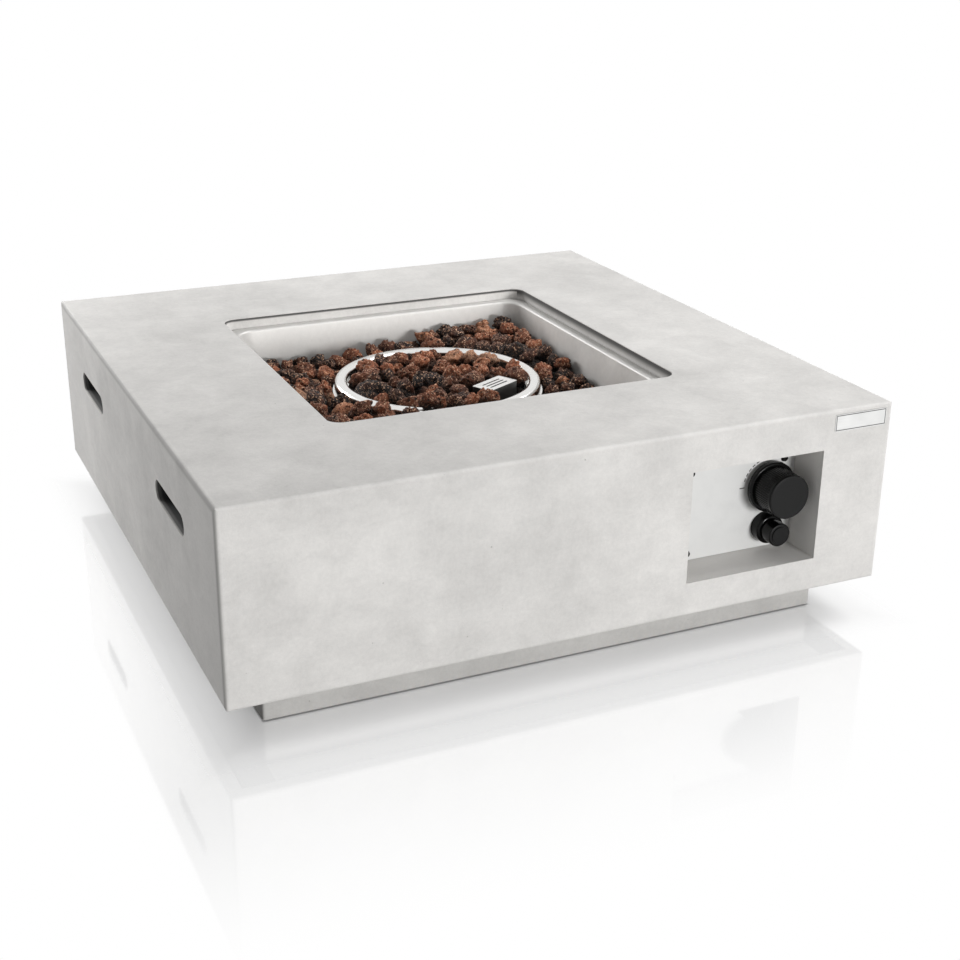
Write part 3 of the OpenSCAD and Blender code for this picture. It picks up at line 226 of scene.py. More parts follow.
def between(value, low, high):
    """1 where a wire's value lies between two numbers, and 0 elsewhere."""
    return (value > low) * (value < high)


# Finishes


def concrete(name, colour, half, top, opening, side_shade):
    """Cast fibre concrete: blotches, grain, pinholes, worn edges with a painted highlight, painted
    shade in the slots, towards the slotted sides' ends and under a lip, and painted light in the
    control niche.
    """
    f = new_finish(name)
    p = f.position()
    x, y, z = f.split(p)
    out_x = abs(x)
    out_y = abs(y)
    clouds = f.noise(p, 3.4, 5.0, 0.55, 0.2) - 0.5
    blotches = f.noise(p, 15.0, 8.0, 0.66, 0.25) - 0.5
    streaks = f.noise(f.scaled(p, (1.0, 1.0, 2.2)), 34.0, 6.0, 0.7, 0.6) - 0.5
    grain = f.noise(p, 260.0, 4.0, 0.65) - 0.5
    speckle = f.noise(p, 1100.0, 2.0) - 0.5
    distance, chance = f.cells(p, 85.0)
    pinholes = f.smooth(distance, 0.085, 0.035) * (chance > 0.90)
    level = 0.5 + clouds * 1.2 + blotches * 1.7 + streaks * 0.7 + grain * 0.70 + speckle * 0.45
    base = f.mix(level, darker(colour, 0.82), darker(colour, 1.11))

    # Worn edges with a painted highlight, and pinholes
    edge = 0.006
    near_x = f.smooth(out_x, half - edge, half)
    near_y = f.smooth(out_y, half - edge, half)
    near_top = f.smooth(z, top - edge, top)
    worn_and_highlit = (near_x * near_y) | (near_x * near_top) | (near_y * near_top)
    # Paler edges: part wear, part painted highlight
    base = f.mix(worn_and_highlit * (0.30 + blotches * 2.0), base, darker(colour, 1.14))
    base = f.mix(pinholes * 0.55, base, darker(colour, 0.5))

    # The two slotted sides: painted shade with blotchy stains towards their ends, and a dark line along
    # their edges
    skin = 0.001
    shade_and_stain_width = 0.14
    shade_and_stain_at_ends = (out_x > half - skin) * f.smooth(out_y, half - shade_and_stain_width, half)
    # Painted shade towards the sides' ends, with blotchy stains in it
    base = f.mix(shade_and_stain_at_ends * (side_shade + blotches * 0.6), base, darker(colour, 0.45))
    line_end = 0.003
    line_at_ends = f.smooth(out_y, half - 0.009, half - line_end)
    line_at_top = f.smooth(z, top - 0.008, top - line_end)
    edge_line = (line_at_ends | line_at_top) * f.smooth(out_x, half - 0.0025, half - 0.0008)
    base = f.mix(edge_line * 0.5, base, darker(colour, 0.35))

    # Painted shade in the finger slots, darker with their depth
    slot_zone = 0.020
    slot_head = 0.040
    slot_foot = 0.090
    in_slot = (out_x > half - slot_zone) * (out_y < half - slot_zone)
    in_slot = in_slot * between(z, top - slot_foot, top - slot_head)
    shaded = f.smooth(out_x, half - 0.0005, half - 0.0025)
    deep_shade = f.smooth(out_x, half - 0.0035, half - 0.0065)
    base = f.mix(in_slot * shaded * 0.95, base, darker(colour, 0.12))
    base = f.mix(in_slot * deep_shade, base, darker(colour, 0.01))

    # Painted light: the walls of the control niche made paler
    niche_edge = 0.004
    across = between(x, panel_low[0] - sheet, panel_high[0] + sheet)
    upright = between(z, panel_low[2] - sheet, panel_high[2] + sheet)
    inward = f.smooth(y, -half, -half + niche_edge) * (y < panel_high[1])
    base = f.mix(across * upright * inward * 0.7, base, darker(colour, 1.16))

    # Painted shade on the opening's wall, darkest under its lip
    lip = 0.0009
    wall = opening + 0.0012
    beside = (out_x > out_y) * f.smooth(z, top - 0.0120, top - 0.0030)
    before = (out_y > out_x) * f.smooth(z, top - 0.0045, top - 0.0025)
    soot_and_shade = (beside | before) * ((out_x | out_y) < wall) * (z < top - lip)
    # Painted shade: the wall under the lip made near-black
    base = f.mix(soot_and_shade * 0.95, base, darker(colour, 0.07))

    height = grain * 0.35 + blotches * 0.5 + speckle * 0.1 - pinholes * 0.9
    return f.surface(
        Base_Color=base,
        Roughness=0.74 + clouds * 0.2 + grain * 0.18,
        Normal=f.bump(height, 0.0009, 0.6),
    )


def rubber(name, colour):
    """Dull moulded rubber with fine grain and dust."""
    f = new_finish(name)
    p = f.position()
    grain = f.noise(p, 900.0, 3.0)
    dust = f.smooth(f.noise(p, 35.0, 4.0), 0.45, 0.75)
    base = f.mix(dust * 0.5, darker(colour, 0.8), darker(colour, 2.0))
    return f.surface(Base_Color=base, Roughness=0.72 + grain * 0.2, Normal=f.bump(grain, 0.0003, 0.5))


def sheet_metal(name, colour, roughness, grain_scale, tarnish, tarnish_colour):
    """Metal whose grain is drawn out along one direction, with soft stains."""
    f = new_finish(name)
    p = f.position()
    grain = f.noise(f.scaled(p, grain_scale), 1.0, 4.0, 0.6) - 0.5
    stains = f.noise(p, 24.0, 5.0, 0.6, 0.6)
    spots = f.smooth(f.noise(p, 160.0, 3.0, 0.6), 0.56, 0.74)
    base = f.mix(f.smooth(stains, 0.42, 0.72) * tarnish, colour, tarnish_colour)
    base = f.mix(0.5 + grain * 0.8, darker(colour, 0.86), base)
    base = f.mix(spots * tarnish * 0.6, base, tarnish_colour)
    return f.surface(
        Base_Color=base,
        Metallic=1.0,
        Roughness=roughness + grain * 0.16 + stains * 0.10 + spots * 0.12,
        Normal=f.bump(grain, 0.00008, 0.5),
    )


def spangled_zinc(name, colour):
    """Zinc-coated steel with its crystal spangle."""
    f = new_finish(name)
    p = f.position()
    distance, chance = f.cells(p, 170.0)
    mottle = f.noise(p, 60.0, 4.0)
    base = f.mix(chance * 0.6 + mottle * 0.3, darker(colour, 0.7), darker(colour, 1.15))
    return f.surface(
        Base_Color=base,
        Metallic=1.0,
        Roughness=0.3 + chance * 0.16 + mottle * 0.12,
        Normal=f.bump(distance + mottle, 0.0001, 0.4),
    )


def bowl_steel(name, colour):
    """Dull pressed steel: draw marks down the walls, cloudy mottling and faint soot low down."""
    f = new_finish(name)
    p = f.position()
    z = f.split(p)[2]
    clouds = f.noise(p, 17.0, 5.0, 0.55, 0.7) - 0.5
    mottle = f.noise(p, 95.0, 5.0, 0.65, 0.5) - 0.5
    marks = f.noise(f.scaled(p, (900.0, 900.0, 14.0)), 1.0, 3.0) - 0.5
    soot_and_shade = f.smooth(z, bowl_high[2] - 0.004, ring_top - 0.02) * (0.35 + clouds * 1.6)
    level = 0.5 + clouds * 1.2 + mottle * 0.8 + marks * 0.25
    base = f.mix(level, darker(colour, 0.84), darker(colour, 1.12))
    base = f.mix(soot_and_shade * 0.4, base, darker(colour, 0.5))
    return f.surface(
        Base_Color=base,
        Metallic=0.40,
        Roughness=0.54 + clouds * 0.24 + mottle * 0.12,
        Normal=f.bump(clouds * 0.8 + mottle * 0.2 + marks * 0.05, 0.0005, 0.5),
    )


def ring_steel(name, colour):
    """Polished stainless burner, brushed round its middle, with a trace of heat tint."""
    f = new_finish(name)
    p = f.position()
    x, y, z = f.split(p)
    radius = f.node("VectorMath", {"operation": "LENGTH"}, {0: f.scaled(p, (1.0, 1.0, 0.0))}, "Value")
    angle = f.math("ARCTAN2", y, x)
    brush = f.noise(f.join(radius * 1600.0, angle * 2.0, z * 1600.0), 1.0, 3.0) - 0.5
    smears = f.noise(p, 30.0, 4.0, 0.6) - 0.5
    tint = f.smooth(f.noise(p, 12.0, 3.0), 0.5, 0.75)
    base = f.mix(0.5 + brush * 0.7 + smears * 0.5, darker(colour, 0.88), colour)
    base = f.mix(tint * 0.18, base, (0.62, 0.50, 0.36))
    return f.surface(
        Base_Color=base,
        Metallic=1.0,
        Roughness=0.17 + brush * 0.10 + smears * 0.14,
        Normal=f.bump(brush, 0.00004, 0.5),
    )


def hood_steel(name, colour):
    """Bright brushed top over dark sides."""
    f = new_finish(name)
    p = f.position()
    z = f.split(p)[2]
    up = f.split(f.node("NewGeometry", output="Normal"))[2]
    turned = f.node("VectorRotate", {"rotation_type": "Z_AXIS"}, {"Vector": p, "Angle": -hood_turn})
    brush = f.noise(f.scaled(turned, (60.0, 2200.0, 400.0)), 1.0, 3.0) - 0.5
    soot_and_shade = f.noise(p, 90.0, 4.0, 0.6) - 0.5
    bright = f.smooth(up, 0.35, 0.75) * f.smooth(z, hood_high[2] - 0.003, hood_high[2] - 0.001)
    base = f.mix(0.5 + brush * 0.9 + soot_and_shade * 0.4, darker(colour, 0.85), colour)
    base = f.mix(bright, f.mix(0.5 + soot_and_shade, (0.006, 0.006, 0.006), (0.03, 0.028, 0.026)), base)
    return f.surface(
        Base_Color=base,
        Metallic=bright,
        Roughness=0.42 - bright * 0.14 + soot_and_shade * 0.15,
        Normal=f.bump(brush, 0.00005, 0.4),
    )


def glazed_ceramic(name, colour):
    """White glaze with faint crazing and a smoky shade."""
    f = new_finish(name)
    p = f.position()
    smoke = f.noise(p, 50.0, 4.0)
    craze = f.noise(p, 380.0, 2.0)
    base = f.mix(f.smooth(smoke, 0.45, 0.75), colour, darker(colour, 0.72))
    return f.surface(Base_Color=base, Roughness=0.16 + craze * 0.12, Normal=f.bump(craze, 0.00005, 0.4))


def panel_paint(name, colour):
    """White powder coat with the knob's index line and a dashed arc that shows which way it turns."""
    f = new_finish(name)
    p = f.position()
    x, _, z = f.split(p)
    across = x - knob_x
    up = z - knob_z
    radius = f.math("SQRT", across * across + up * up)
    angle = f.math("ARCTAN2", up, across * -1.0)
    line = 0.0006
    soft = 0.0002
    arc_radius = 0.0290
    arc_start = 0.16
    arc_end = 1.5
    dash = 0.20
    index_start = 0.0275
    index_end = 0.0335
    on_arc = f.smooth(abs(radius - arc_radius), line + soft, line - soft)
    dashes = f.smooth(f.math("PINGPONG", angle, dash / 2), dash * 0.16, dash * 0.20)
    quarter = between(angle, arc_start, arc_end)
    on_index = f.smooth(abs(up), line + soft, line - soft)
    index = on_index * between(radius, index_start, index_end) * (across < 0.0)
    marks = (on_arc * dashes * quarter) | index
    peel = f.noise(p, 700.0, 2.0)
    grime = f.noise(p, 40.0, 4.0, 0.6)
    base = f.mix(f.smooth(grime, 0.4, 0.8), colour, darker(colour, 0.93))
    base = f.mix(marks, base, (0.02, 0.02, 0.02))
    return f.surface(
        Base_Color=base,
        Roughness=0.34 + peel * 0.14 + grime * 0.08,
        Normal=f.bump(peel, 0.0001, 0.4),
    )


def plate_aluminium(name, colour):
    """Bare brushed plate with a thin dark border line."""
    f = new_finish(name)
    p = f.position()
    x, _, z = f.split(p)
    border_inset = 0.0013
    middle_x = (plate_low[0] + plate_high[0]) / 2
    middle_z = (plate_low[2] + plate_high[2]) / 2
    half_x = (plate_high[0] - plate_low[0]) / 2
    half_z = (plate_high[2] - plate_low[2]) / 2
    inset = f.math("MINIMUM", half_x - abs(x - middle_x), half_z - abs(z - middle_z))
    border = f.smooth(abs(inset - border_inset), 0.0006, 0.0003)
    brush = f.noise(f.scaled(p, (40.0, 40.0, 2600.0)), 1.0, 3.0) - 0.5
    smudge = f.noise(p, 60.0, 4.0) - 0.5
    base = f.mix(0.5 + brush * 1.1 + smudge * 0.6, darker(colour, 0.85), colour)
    base = f.mix(border * 0.9, base, (0.03, 0.03, 0.03))
    return f.surface(
        Base_Color=base,
        Metallic=1.0 - border,
        Roughness=0.32 + brush * 0.2 + smudge * 0.15,
        Normal=f.bump(brush, 0.00006, 0.5),
    )


def moulded_plastic(name, colour, gloss, face_y, face_gloss):
    """Moulded plastic whose front face is more matte than its sides, with light scuffs."""
    f = new_finish(name)
    p = f.position()
    y = f.split(p)[1]
    face = f.smooth(y, face_y + 0.0012, face_y + 0.0002)
    grain = f.noise(p, 1600.0, 2.0) - 0.5
    scuffs = f.smooth(f.noise(f.scaled(p, (60.0, 60.0, 420.0)), 1.0, 4.0, 0.6, 0.8), 0.55, 0.75)
    dust = f.noise(p, 70.0, 4.0)
    base = f.mix(face * 0.8 + dust * 0.2, colour, darker(colour, 1.9))
    base = f.mix(scuffs * 0.25, base, darker(colour, 2.6))
    return f.surface(
        Base_Color=base,
        Roughness=gloss + face * (face_gloss - gloss) + scuffs * 0.12 + grain * 0.05,
        Specular_IOR_Level=0.15,
        Normal=f.bump(grain * (0.4 + face), 0.00012, 0.5),
    )


def battery_jacket(name, colour):
    """Printed sleeve with a dark band at one end."""
    f = new_finish(name)
    p = f.position()
    low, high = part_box("igniter_battery")
    length = high[1] - low[1]
    y = f.split(p)[1]
    band = f.smooth(y, low[1] + length * 0.70, low[1] + length * 0.72)
    wear = f.noise(p, 260.0, 4.0)
    base = f.mix(band, colour, (0.02, 0.02, 0.02))
    base = f.mix(f.smooth(wear, 0.58, 0.72) * 0.4, base, darker(colour, 1.4))
    return f.surface(Base_Color=base, Metallic=0.3, Roughness=0.22 + wear * 0.2)


def lava(name):
    """Red-brown to black lava rock: pores in three sizes filled with painted shade, pale specks partly
    a painted highlight, a tone for each stone, and painted shade between the stones.
    """
    f = new_finish(name)
    tone = f.node("Attribute", {"attribute_name": "tone"}, None, "Fac")
    own_place = f.node("VectorMath", {"operation": "SCALE"}, {0: (3.1, 1.7, 2.3), "Scale": tone})
    p = f.node("VectorMath", {"operation": "ADD"}, {0: f.position(), 1: own_place})
    big_distance, big_chance = f.cells(p, 190.0)
    mid_distance, mid_chance = f.cells(p, 470.0)
    fine_distance, fine_chance = f.cells(p, 900.0)
    big_pores = f.smooth(big_distance, 0.18 + big_chance * 0.32, 0.06)
    mid_pores = f.smooth(mid_distance, 0.36, 0.12) * (mid_chance > 0.35)
    fine_pores = f.smooth(fine_distance, 0.40, 0.15) * (fine_chance > 0.45)
    lumps = f.noise(p, 75.0, 4.0, 0.6) - 0.5
    crust = f.noise(p, 420.0, 4.0, 0.7) - 0.5
    rust = f.smooth(f.noise(p, 45.0, 3.0, 0.6, 0.5), 0.46, 0.66)
    base = f.ramp(tone - 0.11 + lumps * 0.42, [
        (0.00, (0.018, 0.013, 0.012)),
        (0.24, (0.066, 0.034, 0.026)),
        (0.46, (0.210, 0.076, 0.040)),
        (0.66, (0.400, 0.138, 0.068)),
        (0.84, (0.470, 0.232, 0.132)),
        (1.00, (0.360, 0.255, 0.185)),
    ])
    base = f.mix(rust * 0.26, base, (0.370, 0.120, 0.052))
    # Pale crust specks, partly a painted highlight
    base = f.mix(f.smooth(crust, 0.05, 0.14), base, (1.0, 0.620, 0.410))
    pores = big_pores | mid_pores | fine_pores * 0.8
    # Painted shade in the pores: their hollows made near-black
    base = f.mix(pores * 0.95, base, (0.004, 0.003, 0.002))
    depth = f.node("Attribute", {"attribute_name": "depth"}, None, "Fac")
    # Painted shade between the stones: darker the deeper a point lies below the heap's tops around it
    base = f.mix(f.smooth(depth, 0.003, 0.016) * 0.93, base, (0.006, 0.004, 0.003))
    height = lumps * 0.9 + crust * 0.4 - big_pores * 1.2 - mid_pores * 0.6 - fine_pores * 0.25
    return f.surface(Base_Color=base, Roughness=0.94 + crust * 0.1, Normal=f.bump(height, 0.0026, 1.0))


finishes = {
    "concrete": concrete(
        "light_concrete", (0.690, 0.676, 0.656), table_half, table_top, opening_half, 0.14
    ),
    # The plinth's sides take that painted shade at full strength
    "plinth_concrete": concrete(
        "plinth_concrete", (0.540, 0.530, 0.512), plinth_half, plinth_top, 0.0, 1.0
    ),
    "rubber": rubber("foot_rubber", (0.035, 0.034, 0.033)),
    "zinc_steel": spangled_zinc("zinc_plated_steel", (0.62, 0.63, 0.65)),
    "plate_metal": plate_aluminium("plate_aluminium", (0.80, 0.80, 0.79)),
    "bowl_metal": bowl_steel("bowl_steel", (0.63, 0.62, 0.60)),
    "burner_steel": ring_steel("burner_stainless", (0.80, 0.79, 0.77)),
    "brass": sheet_metal(
        "turned_brass", (0.70, 0.50, 0.22), 0.26, (30, 900, 900), 0.5, (0.34, 0.22, 0.10)
    ),
    "tube_aluminium": sheet_metal(
        "drawn_aluminium", (0.77, 0.77, 0.78), 0.3, (80, 80, 80), 0.3, (0.5, 0.5, 0.5)
    ),
    "dark_steel": sheet_metal(
        "blackened_steel", (0.06, 0.058, 0.056), 0.42, (70, 300, 70), 0.6, (0.11, 0.07, 0.05)
    ),
    "hood_steel": hood_steel("hood_steel", (0.82, 0.81, 0.79)),
    "electrode_ceramic": glazed_ceramic("white_ceramic", (0.84, 0.82, 0.77)),
    "copper": sheet_metal(
        "copper_tube", (0.72, 0.38, 0.24), 0.3, (90, 90, 90), 0.6, (0.30, 0.16, 0.10)
    ),
    "lead_rubber": rubber("lead_silicone", (0.022, 0.022, 0.024)),
    "panel_white": panel_paint("panel_white_paint", (0.70, 0.70, 0.69)),
    "black_screw": sheet_metal(
        "black_screw", (0.030, 0.030, 0.030), 0.3, (200, 200, 200), 0.4, (0.07, 0.065, 0.06)
    ),
    "cast_aluminium": sheet_metal(
        "cast_aluminium", (0.58, 0.59, 0.60), 0.5, (300, 300, 300), 0.4, (0.4, 0.4, 0.4)
    ),
    "knob_plastic": moulded_plastic("knob_plastic", (0.004, 0.004, 0.004), 0.22, knob_low[1], 0.48),
    "igniter_plastic": moulded_plastic(
        "igniter_plastic", (0.003, 0.003, 0.003), 0.12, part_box("igniter_cap")[0][1], 0.32
    ),
    "battery_jacket": battery_jacket("battery_jacket", (0.45, 0.27, 0.08)),
    "lava": lava("lava_rock"),
}

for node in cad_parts.values():
    for slot in node.material_slots:
        slot.material = finishes[slot.material.name.split(".")[0]]


# Meshes


def new_piece(name, points, faces, slot_name, body="table"):
    """A mesh piece on a body, with the finish of one of the record's material slots."""
    mesh = bpy.data.meshes.new(name)
    mesh.from_pydata([tuple(point) for point in points], [], [tuple(face) for face in faces])
    mesh.polygons.foreach_set("use_smooth", [True] * len(mesh.polygons))
    mesh.materials.append(finishes[slot_name])
    mesh.update()
    piece = bpy.data.objects.new(name, mesh)
    bpy.context.scene.collection.objects.link(piece)
    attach(piece, body)
    return piece


def arc(middle, radius, start, end, steps):
    """Points of an arc in a profile, from one angle to another in degrees."""
    angles = np.radians(np.linspace(start, end, steps))
    return [(middle[0] + radius * math.cos(a), middle[1] + radius * math.sin(a)) for a in angles]


def rounded_square(half, corner, corner_steps, side_steps):
    """Points round a square with round corners, evenly stepped along each side and corner."""
    points = []
    straight = half - corner
    for quarter in range(4):
        turn = Matrix.Rotation(quarter * math.pi / 2, 2)
        for step in range(side_steps):
            along = -straight + 2 * straight * step / side_steps
            points.append(turn @ Vector((half, along)))
        for step in range(corner_steps):
            a = math.pi / 2 * step / corner_steps
            x = straight + corner * math.cos(a)
            y = straight + corner * math.sin(a)
            points.append(turn @ Vector((x, y)))
    return points


def band_faces(bands, count, first=0, inner=False):
    """Four-sided faces between rings of points that follow each other."""
    faces = []
    for band in range(bands):
        for step in range(count):
            a = first + band * count + step
            b = first + band * count + (step + 1) % count
            outer_face = (a, a + count, b + count, b)
            faces.append((a, b, b + count, a + count) if inner else outer_face)
    return faces


def pressed_bowl():
    """The bowl as one pressing: flange, round rim, leaning walls, round foot and floor."""
    edge = bowl_high[0]
    top = bowl_high[2]
    floor = bowl_low[2] + sheet
    rim_middle = (edge - flange_width, top - rim_round)
    wall_top = edge - flange_width - rim_round
    lean = math.degrees(math.atan2(bowl_lean, top - floor))
    foot_middle = (wall_top - bowl_lean - floor_round, floor + floor_round)
    edge_drop = 0.0004
    edge_in = 0.0006
    profile = [(edge, top - edge_drop), (edge - edge_in, top)]
    profile += arc(rim_middle, rim_round, 90, 180 + lean, 7)
    profile += arc(foot_middle, floor_round, lean, -90, 8)
    profile += [(foot_middle[0] * share, floor) for share in (0.75, 0.5, 0.25, 0.05)]
    rings = []
    for distance, height in profile:
        corner = min(bowl_corner * distance / edge, distance * 0.9)
        rings.append([(*point, height) for point in rounded_square(distance, corner, 10, 14)])
    count = len(rings[0])
    points = [point for ring in rings for point in ring]
    faces = band_faces(len(rings) - 1, count, inner=True)
    last = (len(rings) - 1) * count
    faces.append(tuple(range(last, last + count)))
    bowl = new_piece("pressed_bowl", points, faces, "bowl_metal")
    thick = bowl.modifiers.new("sheet", "SOLIDIFY")
    thick.thickness = sheet
    thick.offset = -1.0
    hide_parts("fire_bowl")


def wire_spring(node, body, wire, turns):
    """A round-wire coil in place of a node, on the body given."""
    low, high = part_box(node)
    middle_x = (low[0] + high[0]) / 2
    middle_z = (low[2] + high[2]) / 2
    coil = (high[0] - low[0] - wire) / 2
    length = high[1] - low[1]
    steps_per_turn = 24
    steps = turns * steps_per_turn
    sides = 8
    points = []
    for step in range(steps + 1):
        a = 2 * math.pi * turns * step / steps
        along = high[1] - wire / 2 - (length - wire) * step / steps
        for side in range(sides):
            b = 2 * math.pi * side / sides
            out = coil + wire / 2 * math.cos(b)
            y = along + wire / 2 * math.sin(b)
            points.append((middle_x + out * math.cos(a), y, middle_z + out * math.sin(a)))
    last = steps * sides
    faces = [tuple(range(sides)), tuple(range(last + sides - 1, last - 1, -1))]
    faces += band_faces(steps, sides)
    spring = new_piece("wire_" + node, points, faces, "zinc_steel", body)
    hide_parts(node)
    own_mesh(spring)


pressed_bowl()
wire_spring("stem_spring", "table", wire=0.0012, turns=6)
wire_spring("button_spring", "cap", wire=0.0008, turns=5)


# Lava rock

stone_rng = np.random.default_rng(20)
shape_seed = 300
stone_kinds = 24
stone_waves = ((1.7, 0.06), (3.1, 0.05), (5.6, 0.042), (9.5, 0.03), (15.0, 0.018))
stone_pits = 80
grid_step = 0.002
heap_half = 0.184
ring_middle = ring_out - ring_band / 2
heap_over_ring = 0.010
settle = 0.0008
no_room = 1.0
most_stones = 900
most_misses = 50


def stone_shape(detail, seed):
    """A lump of radius about 1: waves swell it, flats cut it and pits dent it."""
    rng = np.random.default_rng(seed)
    ball = bmesh.new()
    bmesh.ops.create_icosphere(ball, subdivisions=detail, radius=1.0)
    out = np.array([vertex.co for vertex in ball.verts])
    faces = np.array([[vertex.index for vertex in face.verts] for face in ball.faces])
    ball.free()
    size = np.ones(len(out))
    for pitch, swell in stone_waves:
        for direction in rng.normal(size=(5, 3)):
            direction /= np.linalg.norm(direction)
            size += swell * np.sin(pitch * out @ direction * 2.0 + rng.uniform(0, 6.28))
    points = out * size[:, None] * rng.uniform((1.0, 0.85, 0.70), (1.28, 1.08, 0.95))
    for normal in rng.normal(size=(3, 3)):
        normal /= np.linalg.norm(normal)
        over = np.maximum(points @ normal - rng.uniform(0.70, 0.95), 0.0)
        points -= 0.6 * over[:, None] * normal
    for middle in rng.normal(size=(stone_pits, 3)):
        middle /= np.linalg.norm(middle)
        reach = rng.uniform(0.10, 0.28)
        near = np.linalg.norm(out - middle, axis=1) / reach
        points -= out * (rng.uniform(0.30, 0.55) * reach * np.maximum(1 - near**2, 0.0) ** 2)[:, None]
    return points / np.linalg.norm(points, axis=1).mean(), faces


def random_turn(rng):
    """A rotation matrix drawn evenly from all turns."""
    axis = rng.normal(size=4)
    a, b, c, d = axis / np.linalg.norm(axis)
    return np.array([
        [1 - 2 * (c * c + d * d), 2 * (b * c - a * d), 2 * (b * d + a * c)],
        [2 * (b * c + a * d), 1 - 2 * (b * b + d * d), 2 * (c * d - a * b)],
        [2 * (b * d - a * c), 2 * (c * d + a * b), 1 - 2 * (b * b + c * c)],
    ])


def footprint(points):
    """The grid cells under a stone, with the heights of its underside and its top there."""
    cells = np.round(points[:, :2] / grid_step).astype(int)
    reach = np.abs(cells).max()
    width = 2 * reach + 1
    under = np.full((width, width), np.inf)
    over = np.full((width, width), -np.inf)
    np.minimum.at(under, (cells[:, 0] + reach, cells[:, 1] + reach), points[:, 2])
    np.maximum.at(over, (cells[:, 0] + reach, cells[:, 1] + reach), points[:, 2])
    rows, columns = np.nonzero(np.isfinite(under))
    return rows - reach, columns - reach, under[rows, columns], over[rows, columns]


def heap_ground():
    """Heights of bowl, burner and hood on the grid, and the height that the heap aims for."""
    wall_gap = 0.0015
    rim_gap = 0.003
    ring_gap = 0.0008
    hood_gap = 0.003
    covered_from = -126
    covered_to = -70
    corner_rise = 0.011
    left_rise = 0.007
    count = int(2 * heap_half / grid_step) + 1
    line = (np.arange(count) - count // 2) * grid_step
    x, y = np.meshgrid(line, line, indexing="ij")
    floor = bowl_low[2] + sheet
    wall_foot = bowl_high[0] - flange_width - rim_round - bowl_lean
    corner = np.maximum(np.abs(x) - wall_foot + bowl_corner, 0) ** 2
    corner = np.sqrt(corner + np.maximum(np.abs(y) - wall_foot + bowl_corner, 0) ** 2)
    past_foot = np.maximum(np.maximum(np.abs(x), np.abs(y)) - wall_foot, corner - bowl_corner)
    slope = (bowl_high[2] - floor) / bowl_lean
    ground = floor + np.clip(past_foot + wall_gap, 0, bowl_lean) * slope
    ground[past_foot > bowl_lean - rim_gap] = no_room
    radius = np.hypot(x, y)
    bearing = np.degrees(np.arctan2(y, x))
    on_ring = np.abs(radius - ring_middle) < ring_band / 2 + ring_gap
    covered = (bearing > covered_from) & (bearing < covered_to)
    ground[on_ring] = no_room
    ground[on_ring & covered] = ring_top
    along = (x - hood_middle[0]) * math.cos(hood_turn) + (y - hood_middle[1]) * math.sin(hood_turn)
    aside = (y - hood_middle[1]) * math.cos(hood_turn) - (x - hood_middle[0]) * math.sin(hood_turn)
    on_hood = (np.abs(along) < hood_long / 2 + hood_gap) & (np.abs(aside) < hood_wide / 2 + hood_gap)
    ground[on_hood] = no_room
    outside = ring_top - 0.001 + corner_rise * np.cos(np.radians(2 * (bearing - 45)))
    outside += left_rise * np.maximum(-np.cos(np.radians(bearing)), 0.0) ** 2
    aim = np.where(radius < ring_middle, ring_top + heap_over_ring, outside)
    return line, ground, aim


def highest_near(heights, reach):
    """The greatest height within so many grid cells of each cell."""
    count = len(heights)
    padded = np.pad(heights, reach)
    best = heights
    for row in range(2 * reach + 1):
        for column in range(2 * reach + 1):
            if math.hypot(row - reach, column - reach) <= reach:
                best = np.maximum(best, padded[row:row + count, column:column + count])
    return best


def pack_stones(kinds):
    """Lays stones on the burner's front, then drops others into the lowest places until it is full."""
    rng = stone_rng
    line, ground, aim = heap_ground()
    middle = len(line) // 2
    front_bearings = np.radians(np.arange(-121.0, -72.0, 3.5))
    front_sizes = (0.0070, 0.0090)
    main_sizes = (0.0090, 0.0170)
    filler_sizes = (0.0070, 0.0100)
    filler_misses = 12
    places_tried = 260
    turns_tried = 4
    low_first = 0.6
    overshoot = 0.003
    stones = []

    def lay(kind, radius, turn, cell, height, rows, columns, over):
        cells = (cell[0] + rows, cell[1] + columns)
        ground[cells] = np.maximum(ground[cells], height + over)
        spot = np.array([line[cell[0]], line[cell[1]], height])
        stones.append((kind, radius, turn, spot, cells, height + over))

    for bearing in front_bearings:
        kind = rng.integers(stone_kinds)
        radius = rng.uniform(*front_sizes)
        turn = random_turn(rng)
        rows, columns, under, over = footprint(kinds[kind] @ turn.T * radius)
        reach = ring_middle + rng.uniform(-0.004, 0.004)
        way = np.array([np.cos(bearing), np.sin(bearing)])
        cell = middle + np.round(reach * way / grid_step).astype(int)
        height = (ground[cell[0] + rows, cell[1] + columns] - under).max() - settle
        if height < ring_top + heap_over_ring:
            lay(kind, radius, turn, cell, height, rows, columns, over)
    misses = 0
    while misses < most_misses and len(stones) < most_stones:
        radius = rng.uniform(*(main_sizes if misses < filler_misses else filler_sizes))
        kind = rng.integers(stone_kinds)
        best = None
        for _ in range(turns_tried):
            turn = random_turn(rng)
            rows, columns, under, over = footprint(kinds[kind] @ turn.T * radius)
            room = middle - max(np.abs(rows).max(), np.abs(columns).max()) - 1
            place = rng.integers(-room, room + 1, size=(places_tried, 2)) + middle
            below = ground[place[:, :1] + rows, place[:, 1:] + columns]
            height = (below - under).max(axis=1)
            excess = height + over.max() - aim[place[:, 0], place[:, 1]]
            scores = excess + height * low_first
            pick = int(np.argmin(scores + (height > no_room / 2)))
            fits = height[pick] < no_room / 2 and excess[pick] < overshoot
            if fits and (best is None or scores[pick] < best[0]):
                best = (scores[pick], turn, place[pick], height[pick] - settle, rows, columns, over)
        if best is None:
            misses += 1
        else:
            misses = 0
            lay(kind, radius, *best[1:])
    near_top = 0.002
    shade_reach = 4
    shown = [np.mean(tops > ground[cells] - near_top) for _, _, _, _, cells, tops in stones]
    heap_tops = highest_near(np.where(ground < no_room / 2, ground, 0.0), shade_reach)
    return stones, shown, heap_tops


